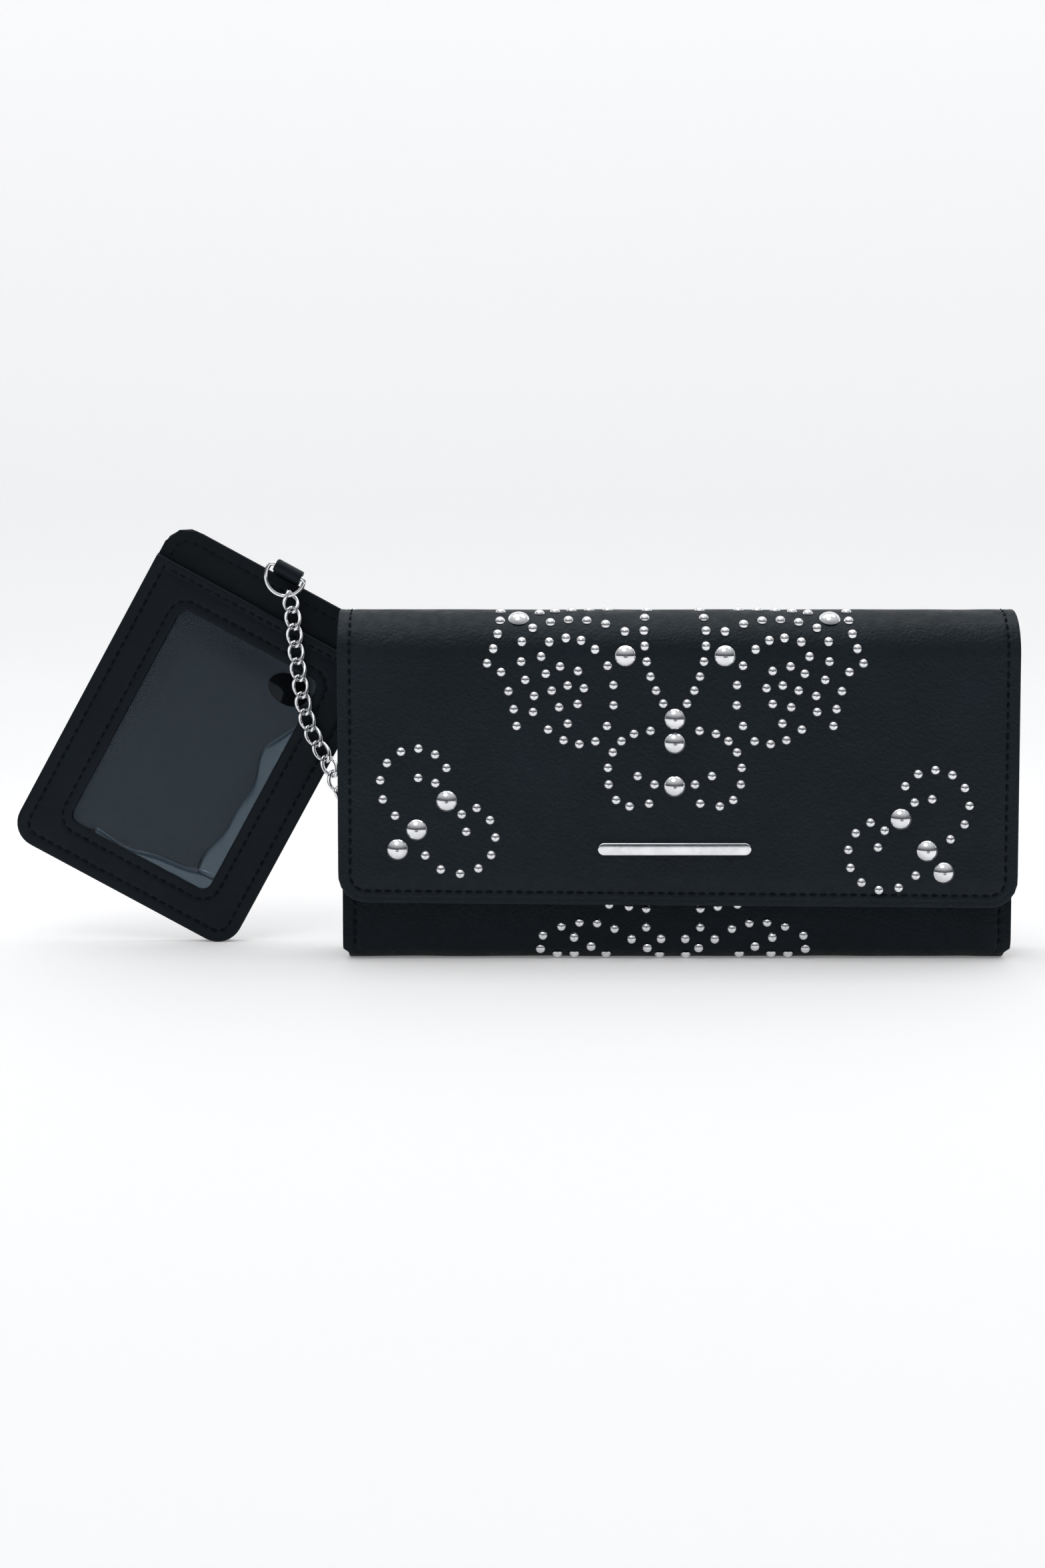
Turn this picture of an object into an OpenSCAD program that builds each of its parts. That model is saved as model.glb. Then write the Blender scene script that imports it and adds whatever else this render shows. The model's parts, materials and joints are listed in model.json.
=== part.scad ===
// Long flap wallet with a curb chain and a windowed card holder.
// Frame: +X to the wallet's right, +Y to its back, +Z up. The origin is on the flat base, at mid length.

/* [Wallet] */
// Length of the wallet body
body_l = 193; // [185:1:200]
// Length of the flap
flap_l = 195; // [187:1:202]
// Height of the closed wallet
wallet_h = 101; // [98:1:104]
// Thickness of the closed wallet
wallet_t = 26; // [26:0.5:28]
// Thickness of the outer leather
leather_t = 1.2; // [1:0.1:1.3]
// Thickness of the linings
lining_t = 0.6; // [0.5:0.1:0.7]
// Thickness of the foam inside the flap
foam_t = 0.7; // [0.5:0.1:0.8]
// Gap between the flap lining and the front panel
flap_gap = 1.4; // [1.3:0.1:1.6]
// Height of the flap's lower edge above the base
flap_edge_z = 16.5; // [12:0.5:20]
// Corner radius of the flap
flap_corner_r = 8; // [4:1:12]
// Outer radius of the folds along the base
base_r = 6.5; // [5:0.5:7]
// Angle behind the top of the roll at which the flap starts
hinge_back = 40; // [36:1:44]

/* [Inside] */
// Height of the front panel and of the gussets
panel_top_z = 83; // [78:1:84]
// Thickness of the coin pocket's panels
divider_t = 1; // [0.8:0.1:1.1]
// Clear width of the coin pocket
coin_gap = 3.2; // [3.1:0.1:3.4]
// Length of the coin pocket and the card panels
divider_l = 182; // [170:1:182]
// Thickness of the card pocket leather
pocket_t = 0.45; // [0.4:0.05:0.5]

/* [Studs] */
// Diameter of a small stud
stud_d = 2.9; // [2.6:0.1:3.1]
// Height of a small stud
stud_h = 1; // [0.8:0.1:1.1]
// Diameter of a large stud
big_stud_d = 6; // [5:0.5:6.5]
// Height of a large stud
big_stud_h = 1.5; // [1.2:0.1:1.8]
// Length of the blank nameplate
plate_l = 44; // [36:1:50]
// Height of the nameplate's centre above the base
plate_z = 33; // [30:1:35]
// Offset of the whole ornament from the wallet's middle, positive to the right
ornament_x = -1.1; // [-2:0.1:2]

/* [Chain] */
// Wire diameter of a link
link_wire = 1.2; // [1.1:0.05:1.2]
// Half length of a link, measured on the wire's centre line
link_a = 3.3; // [3.25:0.05:3.35]
// Half width of a link, measured on the wire's centre line
link_b = 2; // [1.95:0.05:2.05]
// Distance between the pivots of a link
link_pitch = 5.1; // [5.05:0.05:5.15]
// Twist of a link's ends out of the chain's plane
link_twist = 50; // [48:1:52]
// Wire diameter of the D-rings
ring_wire = 1.3; // [1.2:0.05:1.3]
// Radius of a D-ring's arc, on the wire's centre line
ring_r = 5.85; // [5.8:0.05:6]

/* [Card holder] */
// Width of the card holder
card_w = 74.5; // [72:0.5:76]
// Height of the card holder
card_h = 106.5; // [104:0.5:108]
// Corner radius of the card holder
card_r = 7.5; // [6:0.5:9]
// Lean of the card holder, clockwise from the front
card_lean = 28.6; // [27.6:0.2:29.6]
// Width of the window
window_w = 46.5; // [44:0.5:49]
// Height of the window
window_h = 72; // [68:1:74]
// Drop of the slot mouth below the holder's top edge
slot_drop = 11.2; // [10:0.2:12]

/* [Hidden] */
$fn = 64;
ease = 0.05;
half_t = wallet_t / 2;
roll_z = wallet_h - half_t;
skin_t = leather_t + lining_t;
flap_t = skin_t + foam_t;
front_y = flap_t + flap_gap - half_t;
inner_front_y = front_y + skin_t;
inner_back_y = half_t - skin_t;
hinge_from = 90 - hinge_back;
flap_from = hinge_from + 0.7;
flap_seam = 3.5;
coin_y = coin_gap / 2;
divider_bottom_z = skin_t + 1;
divider_top_z = 80;

// Magnetic snap
snap_z = 26;
snap_r = 6.5;
snap_bore_r = 2.6;
snap_boss_r = 2.1;
snap_rim_t = 0.6;
snap_back_t = 0.3;
snap_flange_t = 0.5;
snap_shank_r = 1.5;
snap_washer_r = 5;
snap_washer_t = 0.5;

// Zipper of the coin pocket
zip_l = 172;
zip_slit = 0.35;
zip_tape_t = 0.6;
zip_pitch = 3;
tooth_l = 1.6;
tooth_w = 0.9;
tooth_h = 0.8;
zip_z = divider_top_z + zip_tape_t;
slider_x = 76;
slider_l = 8;
slider_top_z = zip_z + tooth_h + 0.2;
slider_plate_t = 0.8;
pull_l = 12;
pull_axis_z = slider_top_z + slider_plate_t + 1;
pull_eye_r = 0.5;
pull_pin_r = 0.4;

// Card pockets, from the base panel towards the front
pocket_pitch = pocket_t + 0.2;
pocket_top_z = [78, 70, 62, 54];

// Chain: headings of the links in degrees from straight down, positive to the right,
// from the card holder's ring to the wallet's ring.
chain_y = half_t + 2.7;
link_heading = [10, 6, 4, 6, 7, 8, 10, 16, 26, 30, 26, 18, 50, 85, 118, 138];
link_count = len(link_heading);
ring_gap = 0.75;
ring_side = 1.55;
ring_corner_r = 1.2;
end_twist = 100;
link_rings = 24;
link_sides = 8;
link_squareness = 0.7;

// Card holder layers, from the front
card_x = -140.3;
card_front_y = chain_y + 2.5;
card_skin_t = 1.1;
film_t = 0.3;
card_gap = 0.8;
card_divider_t = 0.8;
tab_gap = 0.6;
film_y = card_front_y + card_skin_t;
card_divider_y = film_y + film_t + card_gap;
card_back_y = card_divider_y + card_divider_t + tab_gap;
card_z = (card_w / 2 - card_r) * sin(card_lean) + (card_h / 2 - card_r) * cos(card_lean) + card_r;
window_r = 3;
window_drop = 4.8;
welt_w = 3;
tab_w = 8.6;
tab_x = -0.5;
tab_bore_r = 0.85;
tab_r = 1.95;
card_bar_z = card_h / 2 + 2.8;

// Ring centres and the two ends of the chain
function lean(p) = [card_x + p[0] * cos(card_lean) + p[1] * sin(card_lean),
                    card_z - p[0] * sin(card_lean) + p[1] * cos(card_lean)];
function heading(a) = [sin(a), -cos(a)];
card_ring_c = lean([tab_x, card_bar_z - ring_side]);
chain_start = card_ring_c + (ring_r - ring_gap) * heading(link_heading[0]);
function pivot(i) = i == 0 ? chain_start : pivot(i - 1) + link_pitch * heading(link_heading[i - 1]);
wallet_ring_c = pivot(link_count) + (ring_r - ring_gap) * heading(link_heading[link_count - 1]);
bar_x = wallet_ring_c[0] + ring_side;
chain_tab_l = 18;
chain_tab_t = 2.4;
chain_tab_w = 8;

// ---- Helpers -------------------------------------------------------------

// Extrudes an outline drawn in (Y, Z) along X
module along_x(l) {
    rotate([90, 0, 90]) linear_extrude(l, center = true) children();
}

// Extrudes an outline drawn in (X, Z) towards the back, from y to y + t
module along_y(y, t) {
    translate([0, y + t, 0]) rotate([90, 0, 0]) linear_extrude(t) children();
}

// A flat upright panel between two heights
module panel(l, y, t, z0, z1) {
    translate([-l / 2, y, z0]) cube([l, t, z1 - z0]);
}

// Side view of the body as a solid, moved inwards by inset
module body_section(inset) {
    r = base_r - inset;
    y0 = front_y + inset;
    y1 = half_t - inset;
    translate([y0, base_r]) square([y1 - y0, roll_z - base_r]);
    translate([y0 + r, inset]) square([y1 - y0 - 2 * r, base_r]);
    for (y = [y0 + r, y1 - r]) translate([y, base_r]) circle(r);
}

// Part of the roll between two insets and two angles counted from the back
module roll_section(a, b, from, to) {
    wedge_r = 2 * half_t;
    translate([0, roll_z]) intersection() {
        difference() {
            circle(half_t - a);
            circle(half_t - b);
        }
        polygon(concat([[0, 0]], [for (i = [0:4])
            wedge_r * [cos(from + (to - from) * i / 4), sin(from + (to - from) * i / 4)]]));
    }
}

// Front panel, base, back and the back of the roll, between two insets
module shell_section(a, b) {
    difference() {
        body_section(a);
        body_section(b);
        translate([front_y - 1, panel_top_z]) square([half_t, half_t]);
    }
    roll_section(a, b, 0, hinge_from);
}

// A plate with two round lower corners, drawn in (X, Z)
module flap_outline(inset) {
    l = flap_l - 2 * inset;
    z0 = flap_edge_z + inset;
    r = flap_corner_r - inset;
    translate([-l / 2, z0 + r]) square([l, roll_z - z0 - r]);
    translate([r - l / 2, z0]) square([l - 2 * r, r + ease]);
    for (x = [r - l / 2, l / 2 - r]) translate([x, z0 + r]) circle(r);
}

// A rectangle with round corners, centred
module round_plate(w, h, r) {
    square([w - 2 * r, h], center = true);
    square([w, h - 2 * r], center = true);
    for (x = [-1, 1], z = [-1, 1]) translate([x * (w / 2 - r), z * (h / 2 - r)]) circle(r);
}

// ---- Wallet body ---------------------------------------------------------

module outer_shell() {
    color("#23282d") difference() {
        along_x(body_l) shell_section(0, leather_t);
        translate([0, front_y - 1, snap_z]) rotate([-90, 0, 0]) cylinder(r = snap_r - 2, h = 4);
    }
}

module shell_lining() {
    color("#2c2f33") difference() {
        along_x(body_l - 2) shell_section(leather_t, skin_t);
        translate([0, front_y - 1, snap_z]) rotate([-90, 0, 0]) cylinder(r = snap_r - 2, h = 4);
    }
}

// Accordion gusset between the front and back linings, side is -1 or 1
module gusset(side) {
    fold_in = 91.4;
    fold_out = 94.8;
    depth = inner_back_y - inner_front_y;
    sheet = 0.9;
    flange = 0.8;
    folds = concat([[fold_out, inner_front_y]],
        [for (i = [0:6])
            [i % 2 == 0 ? fold_out : fold_in, inner_front_y + flange + (depth - 2 * flange) * i / 6]],
        [[fold_out, inner_back_y]]);
    last = len(folds) - 1;
    color("#202428") intersection() {
        translate([0, 0, divider_bottom_z]) linear_extrude(panel_top_z - divider_bottom_z)
            mirror([side < 0 ? 1 : 0, 0])
                polygon(concat(folds, [for (i = [last:-1:0]) folds[i] + [sheet, 0]]));
        along_x(body_l) body_section(skin_t);
    }
}

module coin_pocket_front() {
    color("#262b30") panel(divider_l, -coin_y - divider_t, divider_t, divider_bottom_z, divider_top_z);
}

module coin_pocket_back() {
    color("#262b30") panel(divider_l, coin_y, divider_t, divider_bottom_z, divider_top_z);
}

// Bottom and side strips that close the coin pocket
module coin_pocket_welt() {
    welt = 2;
    color("#1d2125") {
        panel(divider_l - 2 * welt - 2 * ease, -coin_y, coin_gap, divider_bottom_z, divider_bottom_z + welt);
        for (x = [-1, 1]) translate([x * (divider_l - welt) / 2, 0, 0])
            panel(welt, -coin_y, coin_gap, divider_bottom_z, divider_top_z);
    }
}

module zipper_tape() {
    tape_w = coin_y + divider_t - zip_slit;
    color("#111315") for (y = [-coin_y - divider_t, zip_slit])
        panel(zip_l, y, tape_w, divider_top_z, zip_z);
}

// Two rows of teeth, offset by half a pitch, with a slit for the slider's post
module zipper_teeth() {
    count = floor((zip_l - 8) / zip_pitch);
    color("#b9bcc0") for (side = [0, 1], i = [0:count - 1])
        translate([(i + side / 2 - count / 2) * zip_pitch,
                   side == 0 ? -zip_slit + ease - tooth_w : zip_slit - ease, zip_z])
            cube([tooth_l, tooth_w, tooth_h]);
}

module zipper_slider() {
    lip_t = 0.4;
    half_w = 1.8;
    ear_t = 0.4;
    ear_y = 0.4;
    post_t = 0.3;
    foot_z = divider_top_z - 1.6;
    color("#c4c7cb") translate([slider_x, 0, 0]) {
        difference() {
            translate([-slider_l / 2, -half_w, slider_top_z - 0.8])
                cube([slider_l, 2 * half_w, slider_plate_t + 0.8]);
            translate([-slider_l / 2 - 1, lip_t - half_w, slider_top_z - 1])
                cube([slider_l + 2, 2 * (half_w - lip_t), 1]);
        }
        translate([-0.8, -post_t / 2, foot_z]) cube([1.6, post_t, slider_top_z - foot_z + ease]);
        translate([-slider_l / 2 + 0.5, -1.3, foot_z - 0.8]) cube([slider_l - 1, 2.6, 0.8]);
        for (y = [-ear_y - ear_t, ear_y]) translate([-1.2, y, slider_top_z + slider_plate_t - ease])
            cube([2.4, ear_t, 2]);
        translate([0, -ear_y - ear_t / 2, pull_axis_z]) rotate([-90, 0, 0])
            cylinder(r = pull_pin_r, h = 2 * ear_y + ear_t);
    }
}

module zipper_pull() {
    eye_w = 0.6;
    color("#c4c7cb") translate([slider_x, 0, pull_axis_z]) difference() {
        union() {
            translate([0, eye_w / 2, 0]) rotate([90, 0, 0]) cylinder(r = 0.95, h = eye_w);
            translate([-2.4, -eye_w / 2, -0.4]) cube([2.4, eye_w, 0.8]);
            translate([-2, 0, -0.4]) linear_extrude(0.8) {
                translate([-pull_l + 3.8, -1.9]) square([pull_l - 3.8, 3.8]);
                translate([-pull_l + 3.8, 0]) circle(1.9);
            }
        }
        translate([0, 2, 0]) rotate([90, 0, 0]) cylinder(r = pull_eye_r, h = 4);
    }
}

// Height at which an upright panel whose back face is at y meets the fold along the base
function fold_z(y) = base_r - sqrt(max(pow(base_r - skin_t, 2) - pow(max(y - half_t + base_r, 0), 2), 0));

// Card pocket number i, counted from the back; 0 is the base panel
module card_layer(i, l) {
    y = inner_back_y - pocket_t - i * pocket_pitch;
    color(i % 2 == 0 ? "#24292e" : "#2a2f34")
        panel(l, y, pocket_t, max(divider_bottom_z, fold_z(y + pocket_t) + ease), pocket_top_z[i]);
}

module card_panel() {
    card_layer(0, divider_l);
}

module card_pocket_high() {
    card_layer(1, divider_l - 2);
}

module card_pocket_middle() {
    card_layer(2, divider_l - 4);
}

module card_pocket_low() {
    card_layer(3, divider_l - 6);
}

module snap_socket() {
    color("#b8bbbf") translate([0, front_y, snap_z]) rotate([-90, 0, 0]) difference() {
        union() {
            translate([0, 0, -snap_rim_t]) cylinder(r = snap_r, h = snap_rim_t);
            cylinder(r = snap_r - 2, h = skin_t);
        }
        translate([0, 0, -snap_rim_t - 1]) cylinder(r = snap_bore_r, h = snap_rim_t + 2.4);
    }
}

module snap_socket_washer() {
    color("#9a9da1") translate([0, inner_front_y, snap_z]) rotate([-90, 0, 0])
        cylinder(r = snap_r - 0.5, h = snap_back_t);
}

// Small studs on the part of the front panel that the flap leaves open
module front_studs() {
    color("#d5d7da") for (s = [-1, 1]) {
        front_row([-37.6, 7.3], [-24.2, 15.4], [-12, 6.2], 6, s);
        front_row([-38.3, 2.9], [-36, 1.6], [-33.4, 0.7], 2, s);
        front_row([-28.6, 6.7], [-23.4, 3.8], [-19.3, 0.7], 3, s);
        front_row([-3.5, 6.3], [-11.2, 3.1], [-3.8, 0.3], 3, s);
        front_row([-7.8, 15], [-7.8, 12.3], [-7.8, 9.6], 2, s);
        front_row([-12.8, 15.6], [-15.6, 16], [-18.5, 16.2], 2, s);
        on_front(s * 28.5, 0.8) stud(stud_d, stud_h);
    }
}

// Strap on the back that holds the wallet's ring, bored for the ring's bar
module chain_tab() {
    color("#1f2327") translate([bar_x, 0, wallet_ring_c[1] - chain_tab_w / 2])
        linear_extrude(chain_tab_w) difference() {
            union() {
                translate([0, chain_y]) circle(tab_r);
                translate([0.5, half_t]) square([chain_tab_l - 0.5, chain_tab_t]);
            }
            translate([0, chain_y]) circle(tab_bore_r);
        }
}

// ---- Flap ----------------------------------------------------------------

module flap_layer(y, a, b, inset) {
    along_x(flap_l - 2 * inset) roll_section(a, b, flap_from, 180);
    along_y(y, b - a) flap_outline(inset);
}

module flap_leather() {
    color("#262b30") flap_layer(-half_t, 0, leather_t, 0);
}

module flap_foam() {
    color("#4a4d50") along_y(leather_t - half_t, foam_t) difference() {
        translate([-(flap_l / 2 - flap_seam), flap_edge_z + flap_seam])
            square([flap_l - 2 * flap_seam, roll_z - flap_edge_z - 2 * flap_seam]);
        translate([0, snap_z]) circle(snap_washer_r + 0.2);
    }
}

module flap_lining() {
    color("#1e2226") difference() {
        flap_layer(leather_t + foam_t - half_t, leather_t + foam_t, flap_t, 0.8);
        translate([0, -half_t, snap_z]) rotate([-90, 0, 0]) cylinder(r = snap_shank_r + ease, h = flap_t + 1);
    }
}

module snap_stud() {
    boss_h = snap_flange_t + 1.9;
    color("#b8bbbf") translate([0, flap_t - half_t, snap_z]) rotate([-90, 0, 0]) {
        cylinder(r = snap_r, h = snap_flange_t);
        cylinder(r = snap_boss_r, h = boss_h);
        translate([0, 0, -lining_t - snap_washer_t])
            cylinder(r = snap_shank_r, h = lining_t + snap_washer_t + ease);
    }
}

module snap_stud_washer() {
    color("#9a9da1") translate([0, leather_t + foam_t - snap_washer_t - half_t, snap_z]) rotate([-90, 0, 0])
        difference() {
            cylinder(r = snap_washer_r, h = snap_washer_t);
            translate([0, 0, -1]) cylinder(r = snap_shank_r + ease, h = 3);
        }
}

// ---- Studs ---------------------------------------------------------------

// A domed stud, its base on z = 0
module stud(d, h) {
    dome_r = (d * d / 4 + h * h) / (2 * h);
    intersection() {
        translate([0, 0, h - dome_r]) sphere(dome_r);
        cylinder(d = d, h = h + 1);
    }
}

// Point t of a curved row through a and c that leans towards b
function row_point(a, b, c, t) = (1 - t) * (1 - t) * a + 2 * t * (1 - t) * b + t * t * c;

// Sets a stud on the flap. s is the way down the leather from the top of the roll
module on_flap(x, s) {
    roll_l = half_t * PI / 2;
    if (s < roll_l) {
        translate([x + ornament_x, 0, roll_z]) rotate([s / half_t * 180 / PI, 0, 0])
            translate([0, 0, half_t]) children();
    } else {
        translate([x + ornament_x, -half_t, roll_z - (s - roll_l)]) rotate([90, 0, 0]) children();
    }
}

// Sets a stud on the front panel. h is the height above the base, and below
// the fold's start it is measured round the fold
module on_front(x, h) {
    if (h >= base_r) {
        translate([x + ornament_x, front_y, h]) rotate([90, 0, 0]) children();
    } else {
        turn = min((base_r - h) / base_r * 180 / PI, 55);
        translate([x + ornament_x, front_y + base_r, base_r]) rotate([90 + turn, 0, 0])
            translate([0, 0, base_r]) children();
    }
}

// A row of small studs on the flap, on side s (-1 left as drawn, 1 mirrored)
module flap_row(a, b, c, n, s) {
    for (i = [0:n - 1]) let (p = row_point(a, b, c, n == 1 ? 0 : i / (n - 1)))
        on_flap(-s * p[0], p[1]) stud(stud_d, stud_h);
}

module front_row(a, b, c, n, s) {
    for (i = [0:n - 1]) let (p = row_point(a, b, c, i / (n - 1)))
        on_front(-s * p[0], p[1]) stud(stud_d, stud_h);
}

// The two scrolls low on the flap mirror each other, but the right-hand one sits lower and is turned
scroll_c = [-65.2, 61.7];
scroll_turn = 6.4;
scroll_shift = [0.4, 5.2];
function scroll_turned(d) = [d[0] * cos(scroll_turn) + d[1] * sin(scroll_turn),
                             d[1] * cos(scroll_turn) - d[0] * sin(scroll_turn)];
function scroll_point(p, s) = s < 0 ? p : scroll_c + scroll_shift + scroll_turned(p - scroll_c);

module on_scroll(p, s) {
    q = scroll_point(p, s);
    on_flap(-s * q[0], q[1]) children();
}

// Small studs round part of a circle that opens into a spiral at its far end
module scroll_arc(c, r, from, to, n, s) {
    opening = 1.8;
    for (i = [0:n - 1]) let (t = i / (n - 1), a = from + (to - from) * t, k = r + opening * pow(t, 3))
        on_scroll([c[0] + k * cos(a), c[1] - k * sin(a)], s) stud(stud_d, stud_h);
}

module flap_small_studs() {
    color("#d5d7da") for (s = [-1, 1]) {
        flap_row([-49.8, 3.6], [-49.5, 14.1], [-53.6, 22.2], 5, s);
        flap_row([-49.6, 24.7], [-46, 33.1], [-45.2, 40.1], 4, s);
        flap_row([-40.5, 36.1], [-32, 48.1], [-22.7, 44.5], 5, s);
        flap_row([-40.6, 11.5], [-28, 4.6], [-14.3, 12.7], 6, s);
        flap_row([-38.6, 4.7], [-30, 1.5], [-18.9, 1.5], 5, s);
        flap_row([-35.9, 16], [-26, 11.6], [-19.3, 22.9], 5, s);
        flap_row([-17.6, 28.4], [-16.6, 34.1], [-19.4, 40.1], 3, s);
        flap_row([-43.7, 15.9], [-45, 25.1], [-40.2, 31.5], 4, s);
        flap_row([-38.2, 20.3], [-36, 30.1], [-30.6, 39.4], 5, s);
        flap_row([-32.8, 23.1], [-31, 28.6], [-27.8, 33.8], 3, s);
        flap_row([-27.7, 24.4], [-27, 27.1], [-26, 29.3], 2, s);
        flap_row([-7.6, 2.1], [-11.5, 21.1], [-3.4, 33.7], 8, s);
        flap_row([-7, 41.5], [-17.5, 42.1], [-19.1, 52.1], 5, s);
        flap_row([-18.9, 56.9], [-17, 65.6], [-7.3, 62.4], 4, s);
        flap_row([-10.6, 54.5], [-8, 56.1], [-5.8, 56.9], 2, s);
        scroll_arc([-73.9, 56.2], 9.6, 25, 238, 8, s);
        scroll_arc([-61, 72.3], 9.7, 63, -154, 8, s);
        for (p = [[-73.3, 55], [-68.4, 56.5], [-60.9, 65.5], [-59.6, 70.5]])
            on_scroll(p, s) stud(stud_d, stud_h);
    }
}

module flap_large_studs() {
    color("#d5d7da") {
        for (s = [-1, 1]) {
            for (p = [[-44.6, 7.7], [-14.2, 20.1]]) on_flap(-s * p[0], p[1]) stud(big_stud_d, big_stud_h);
            for (p = [scroll_c, [-73.8, 70], [-79.3, 75.7]]) on_scroll(p, s) stud(big_stud_d, big_stud_h);
        }
        for (s = [38.2, 45.1, 57.5]) on_flap(0, s) stud(big_stud_d, big_stud_h);
    }
}

module nameplate() {
    plate_t = 1;
    plate_w = 3.6;
    color("#d5d7da") translate([ornament_x, 0, plate_z]) along_y(-half_t - plate_t, plate_t) {
        square([plate_l - plate_w, plate_w], center = true);
        for (x = [-1, 1]) translate([x * (plate_l - plate_w) / 2, 0]) circle(d = plate_w);
    }
}

// ---- Chain ---------------------------------------------------------------

// Centre line of a curb link, lying along Z: an oval whose ends are turned by t0 and t1
function bow_x(t) = link_b * sign(cos(t)) * pow(abs(cos(t)), link_squareness);
function bow_turn(t, t0, t1) = (t1 + t0) * (1 + sin(t)) / 2 - t0;
function bow(t, t0, t1) = [bow_x(t) * cos(bow_turn(t, t0, t1)), bow_x(t) * sin(bow_turn(t, t0, t1)),
                           link_a * sin(t)];
function unit(v) = v / norm(v);
function bow_tangent(t, t0, t1) = unit(bow(t + 4, t0, t1) - bow(t - 4, t0, t1));
function bow_side(t, t0, t1) = let (a = bow_turn(t, t0, t1))
    unit(cross(bow_tangent(t, t0, t1), [-sin(a), cos(a), 0]));

// A link's wire as one closed tube, t0 is the twist of its wallet end, t1 of its card end
module curb_link(t0, t1) {
    n = link_rings;
    m = link_sides;
    points = [for (k = [0:n - 1], j = [0:m - 1])
        let (t = 360 * (k + 0.5) / n, u = bow_side(t, t0, t1), v = cross(bow_tangent(t, t0, t1), u))
        bow(t, t0, t1) + link_wire / 2 * (cos(360 * j / m) * u + sin(360 * j / m) * v)];
    faces = [for (k = [0:n - 1], j = [0:m - 1], half = [0, 1])
        let (k1 = (k + 1) % n, j1 = (j + 1) % m, a = k * m + j, b = k * m + j1, c = k1 * m + j1, d = k1 * m + j)
        half == 0 ? [a, b, c] : [a, c, d]];
    polyhedron(points, faces);
}

// Link number i, counted from the wallet
module chain_link(i) {
    k = link_count - i;
    a = link_heading[k];
    c = pivot(k) + link_pitch / 2 * heading(a);
    color("#cfd1d4") translate([c[0], chain_y, c[1]]) rotate([0, -a, 0])
        curb_link(i == 1 ? end_twist : link_twist, i == link_count ? end_twist : link_twist);
}

// A D-ring in the XZ plane, its arc hanging from the origin and its bar above it
module d_ring() {
    w = ring_wire / 2;
    c = ring_corner_r;
    rotate([90, 0, 0]) rotate([0, 0, 180]) rotate_extrude(angle = 180) translate([ring_r, 0]) circle(w);
    for (s = [-1, 1]) {
        translate([s * ring_r, 0, 0]) cylinder(r = w, h = ring_side - c);
        translate([s * (ring_r - c), 0, ring_side - c]) rotate([90, 0, 0])
            rotate([0, 0, s > 0 ? 0 : 90]) rotate_extrude(angle = 90) translate([c, 0]) circle(w);
    }
    translate([c - ring_r, 0, ring_side]) rotate([0, 90, 0]) cylinder(r = w, h = 2 * (ring_r - c));
}

module wallet_d_ring() {
    color("#cfd1d4") translate([wallet_ring_c[0], chain_y, wallet_ring_c[1]]) rotate([0, 90, 0]) d_ring();
}

module card_d_ring() {
    color("#cfd1d4") translate([card_ring_c[0], chain_y, card_ring_c[1]]) rotate([0, card_lean, 0]) d_ring();
}

// ---- Card holder ---------------------------------------------------------

// Places an outline drawn in the holder's own (X, Z) between y and y + t
module card_sheet(y, t) {
    translate([card_x, 0, card_z]) rotate([0, card_lean, 0]) along_y(y, t) children();
}

// The holder's outline cut off at its slot mouth
module card_pocket_outline() {
    mouth = card_h / 2 - slot_drop;
    intersection() {
        round_plate(card_w, card_h, card_r);
        translate([-card_w, -card_h]) square([2 * card_w, card_h + mouth]);
    }
}

module card_front() {
    color("#15181b") card_sheet(card_front_y, card_skin_t) difference() {
        card_pocket_outline();
        translate([0, -window_drop]) round_plate(window_w, window_h, window_r);
    }
}

module card_film() {
    color([0.45, 0.52, 0.58, 0.5]) card_sheet(film_y, film_t)
        translate([0, -window_drop]) round_plate(window_w + 6, window_h + 6, window_r);
}

// Spacer strip under the side and bottom stitching
module card_welt() {
    color("#101215") card_sheet(film_y, film_t + card_gap) difference() {
        card_pocket_outline();
        translate([0, welt_w]) round_plate(card_w - 2 * welt_w, card_h, card_r - welt_w);
    }
}

module card_divider() {
    color("#1a1d21") card_sheet(card_divider_y, card_divider_t) round_plate(card_w, card_h, card_r);
}

module card_back() {
    color("#15181b") card_sheet(card_back_y, card_skin_t) round_plate(card_w, card_h, card_r);
}

// Strap over the top edge, bored for the ring's bar and sewn between divider and back
module card_tab() {
    strap_y = card_back_y - tab_gap + ease;
    color("#181b1f") translate([card_x, 0, card_z]) rotate([0, card_lean, 0])
        translate([tab_x, 0, 0]) along_x(tab_w) difference() {
            union() {
                translate([chain_y, card_bar_z]) circle(tab_r);
                translate([chain_y, card_bar_z]) square([card_back_y - chain_y - ease, tab_r]);
                translate([strap_y, card_h / 2 - 8]) square([tab_gap - 2 * ease, 12]);
            }
            translate([chain_y, card_bar_z]) circle(tab_bore_r);
        }
}

outer_shell();
shell_lining();
gusset(-1);  // gusset_left
gusset(1);  // gusset_right
coin_pocket_front();
coin_pocket_back();
coin_pocket_welt();
zipper_tape();
zipper_teeth();
zipper_slider();
zipper_pull();
card_panel();
card_pocket_high();
card_pocket_middle();
card_pocket_low();
snap_socket();
snap_socket_washer();
snap_stud();
snap_stud_washer();
flap_leather();
flap_foam();
flap_lining();
flap_small_studs();
flap_large_studs();
nameplate();
front_studs();
chain_tab();
wallet_d_ring();
chain_link(1);  // chain_link_01
chain_link(2);  // chain_link_02
chain_link(3);  // chain_link_03
chain_link(4);  // chain_link_04
chain_link(5);  // chain_link_05
chain_link(6);  // chain_link_06
chain_link(7);  // chain_link_07
chain_link(8);  // chain_link_08
chain_link(9);  // chain_link_09
chain_link(10);  // chain_link_10
chain_link(11);  // chain_link_11
chain_link(12);  // chain_link_12
chain_link(13);  // chain_link_13
chain_link(14);  // chain_link_14
chain_link(15);  // chain_link_15
chain_link(16);  // chain_link_16
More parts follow.
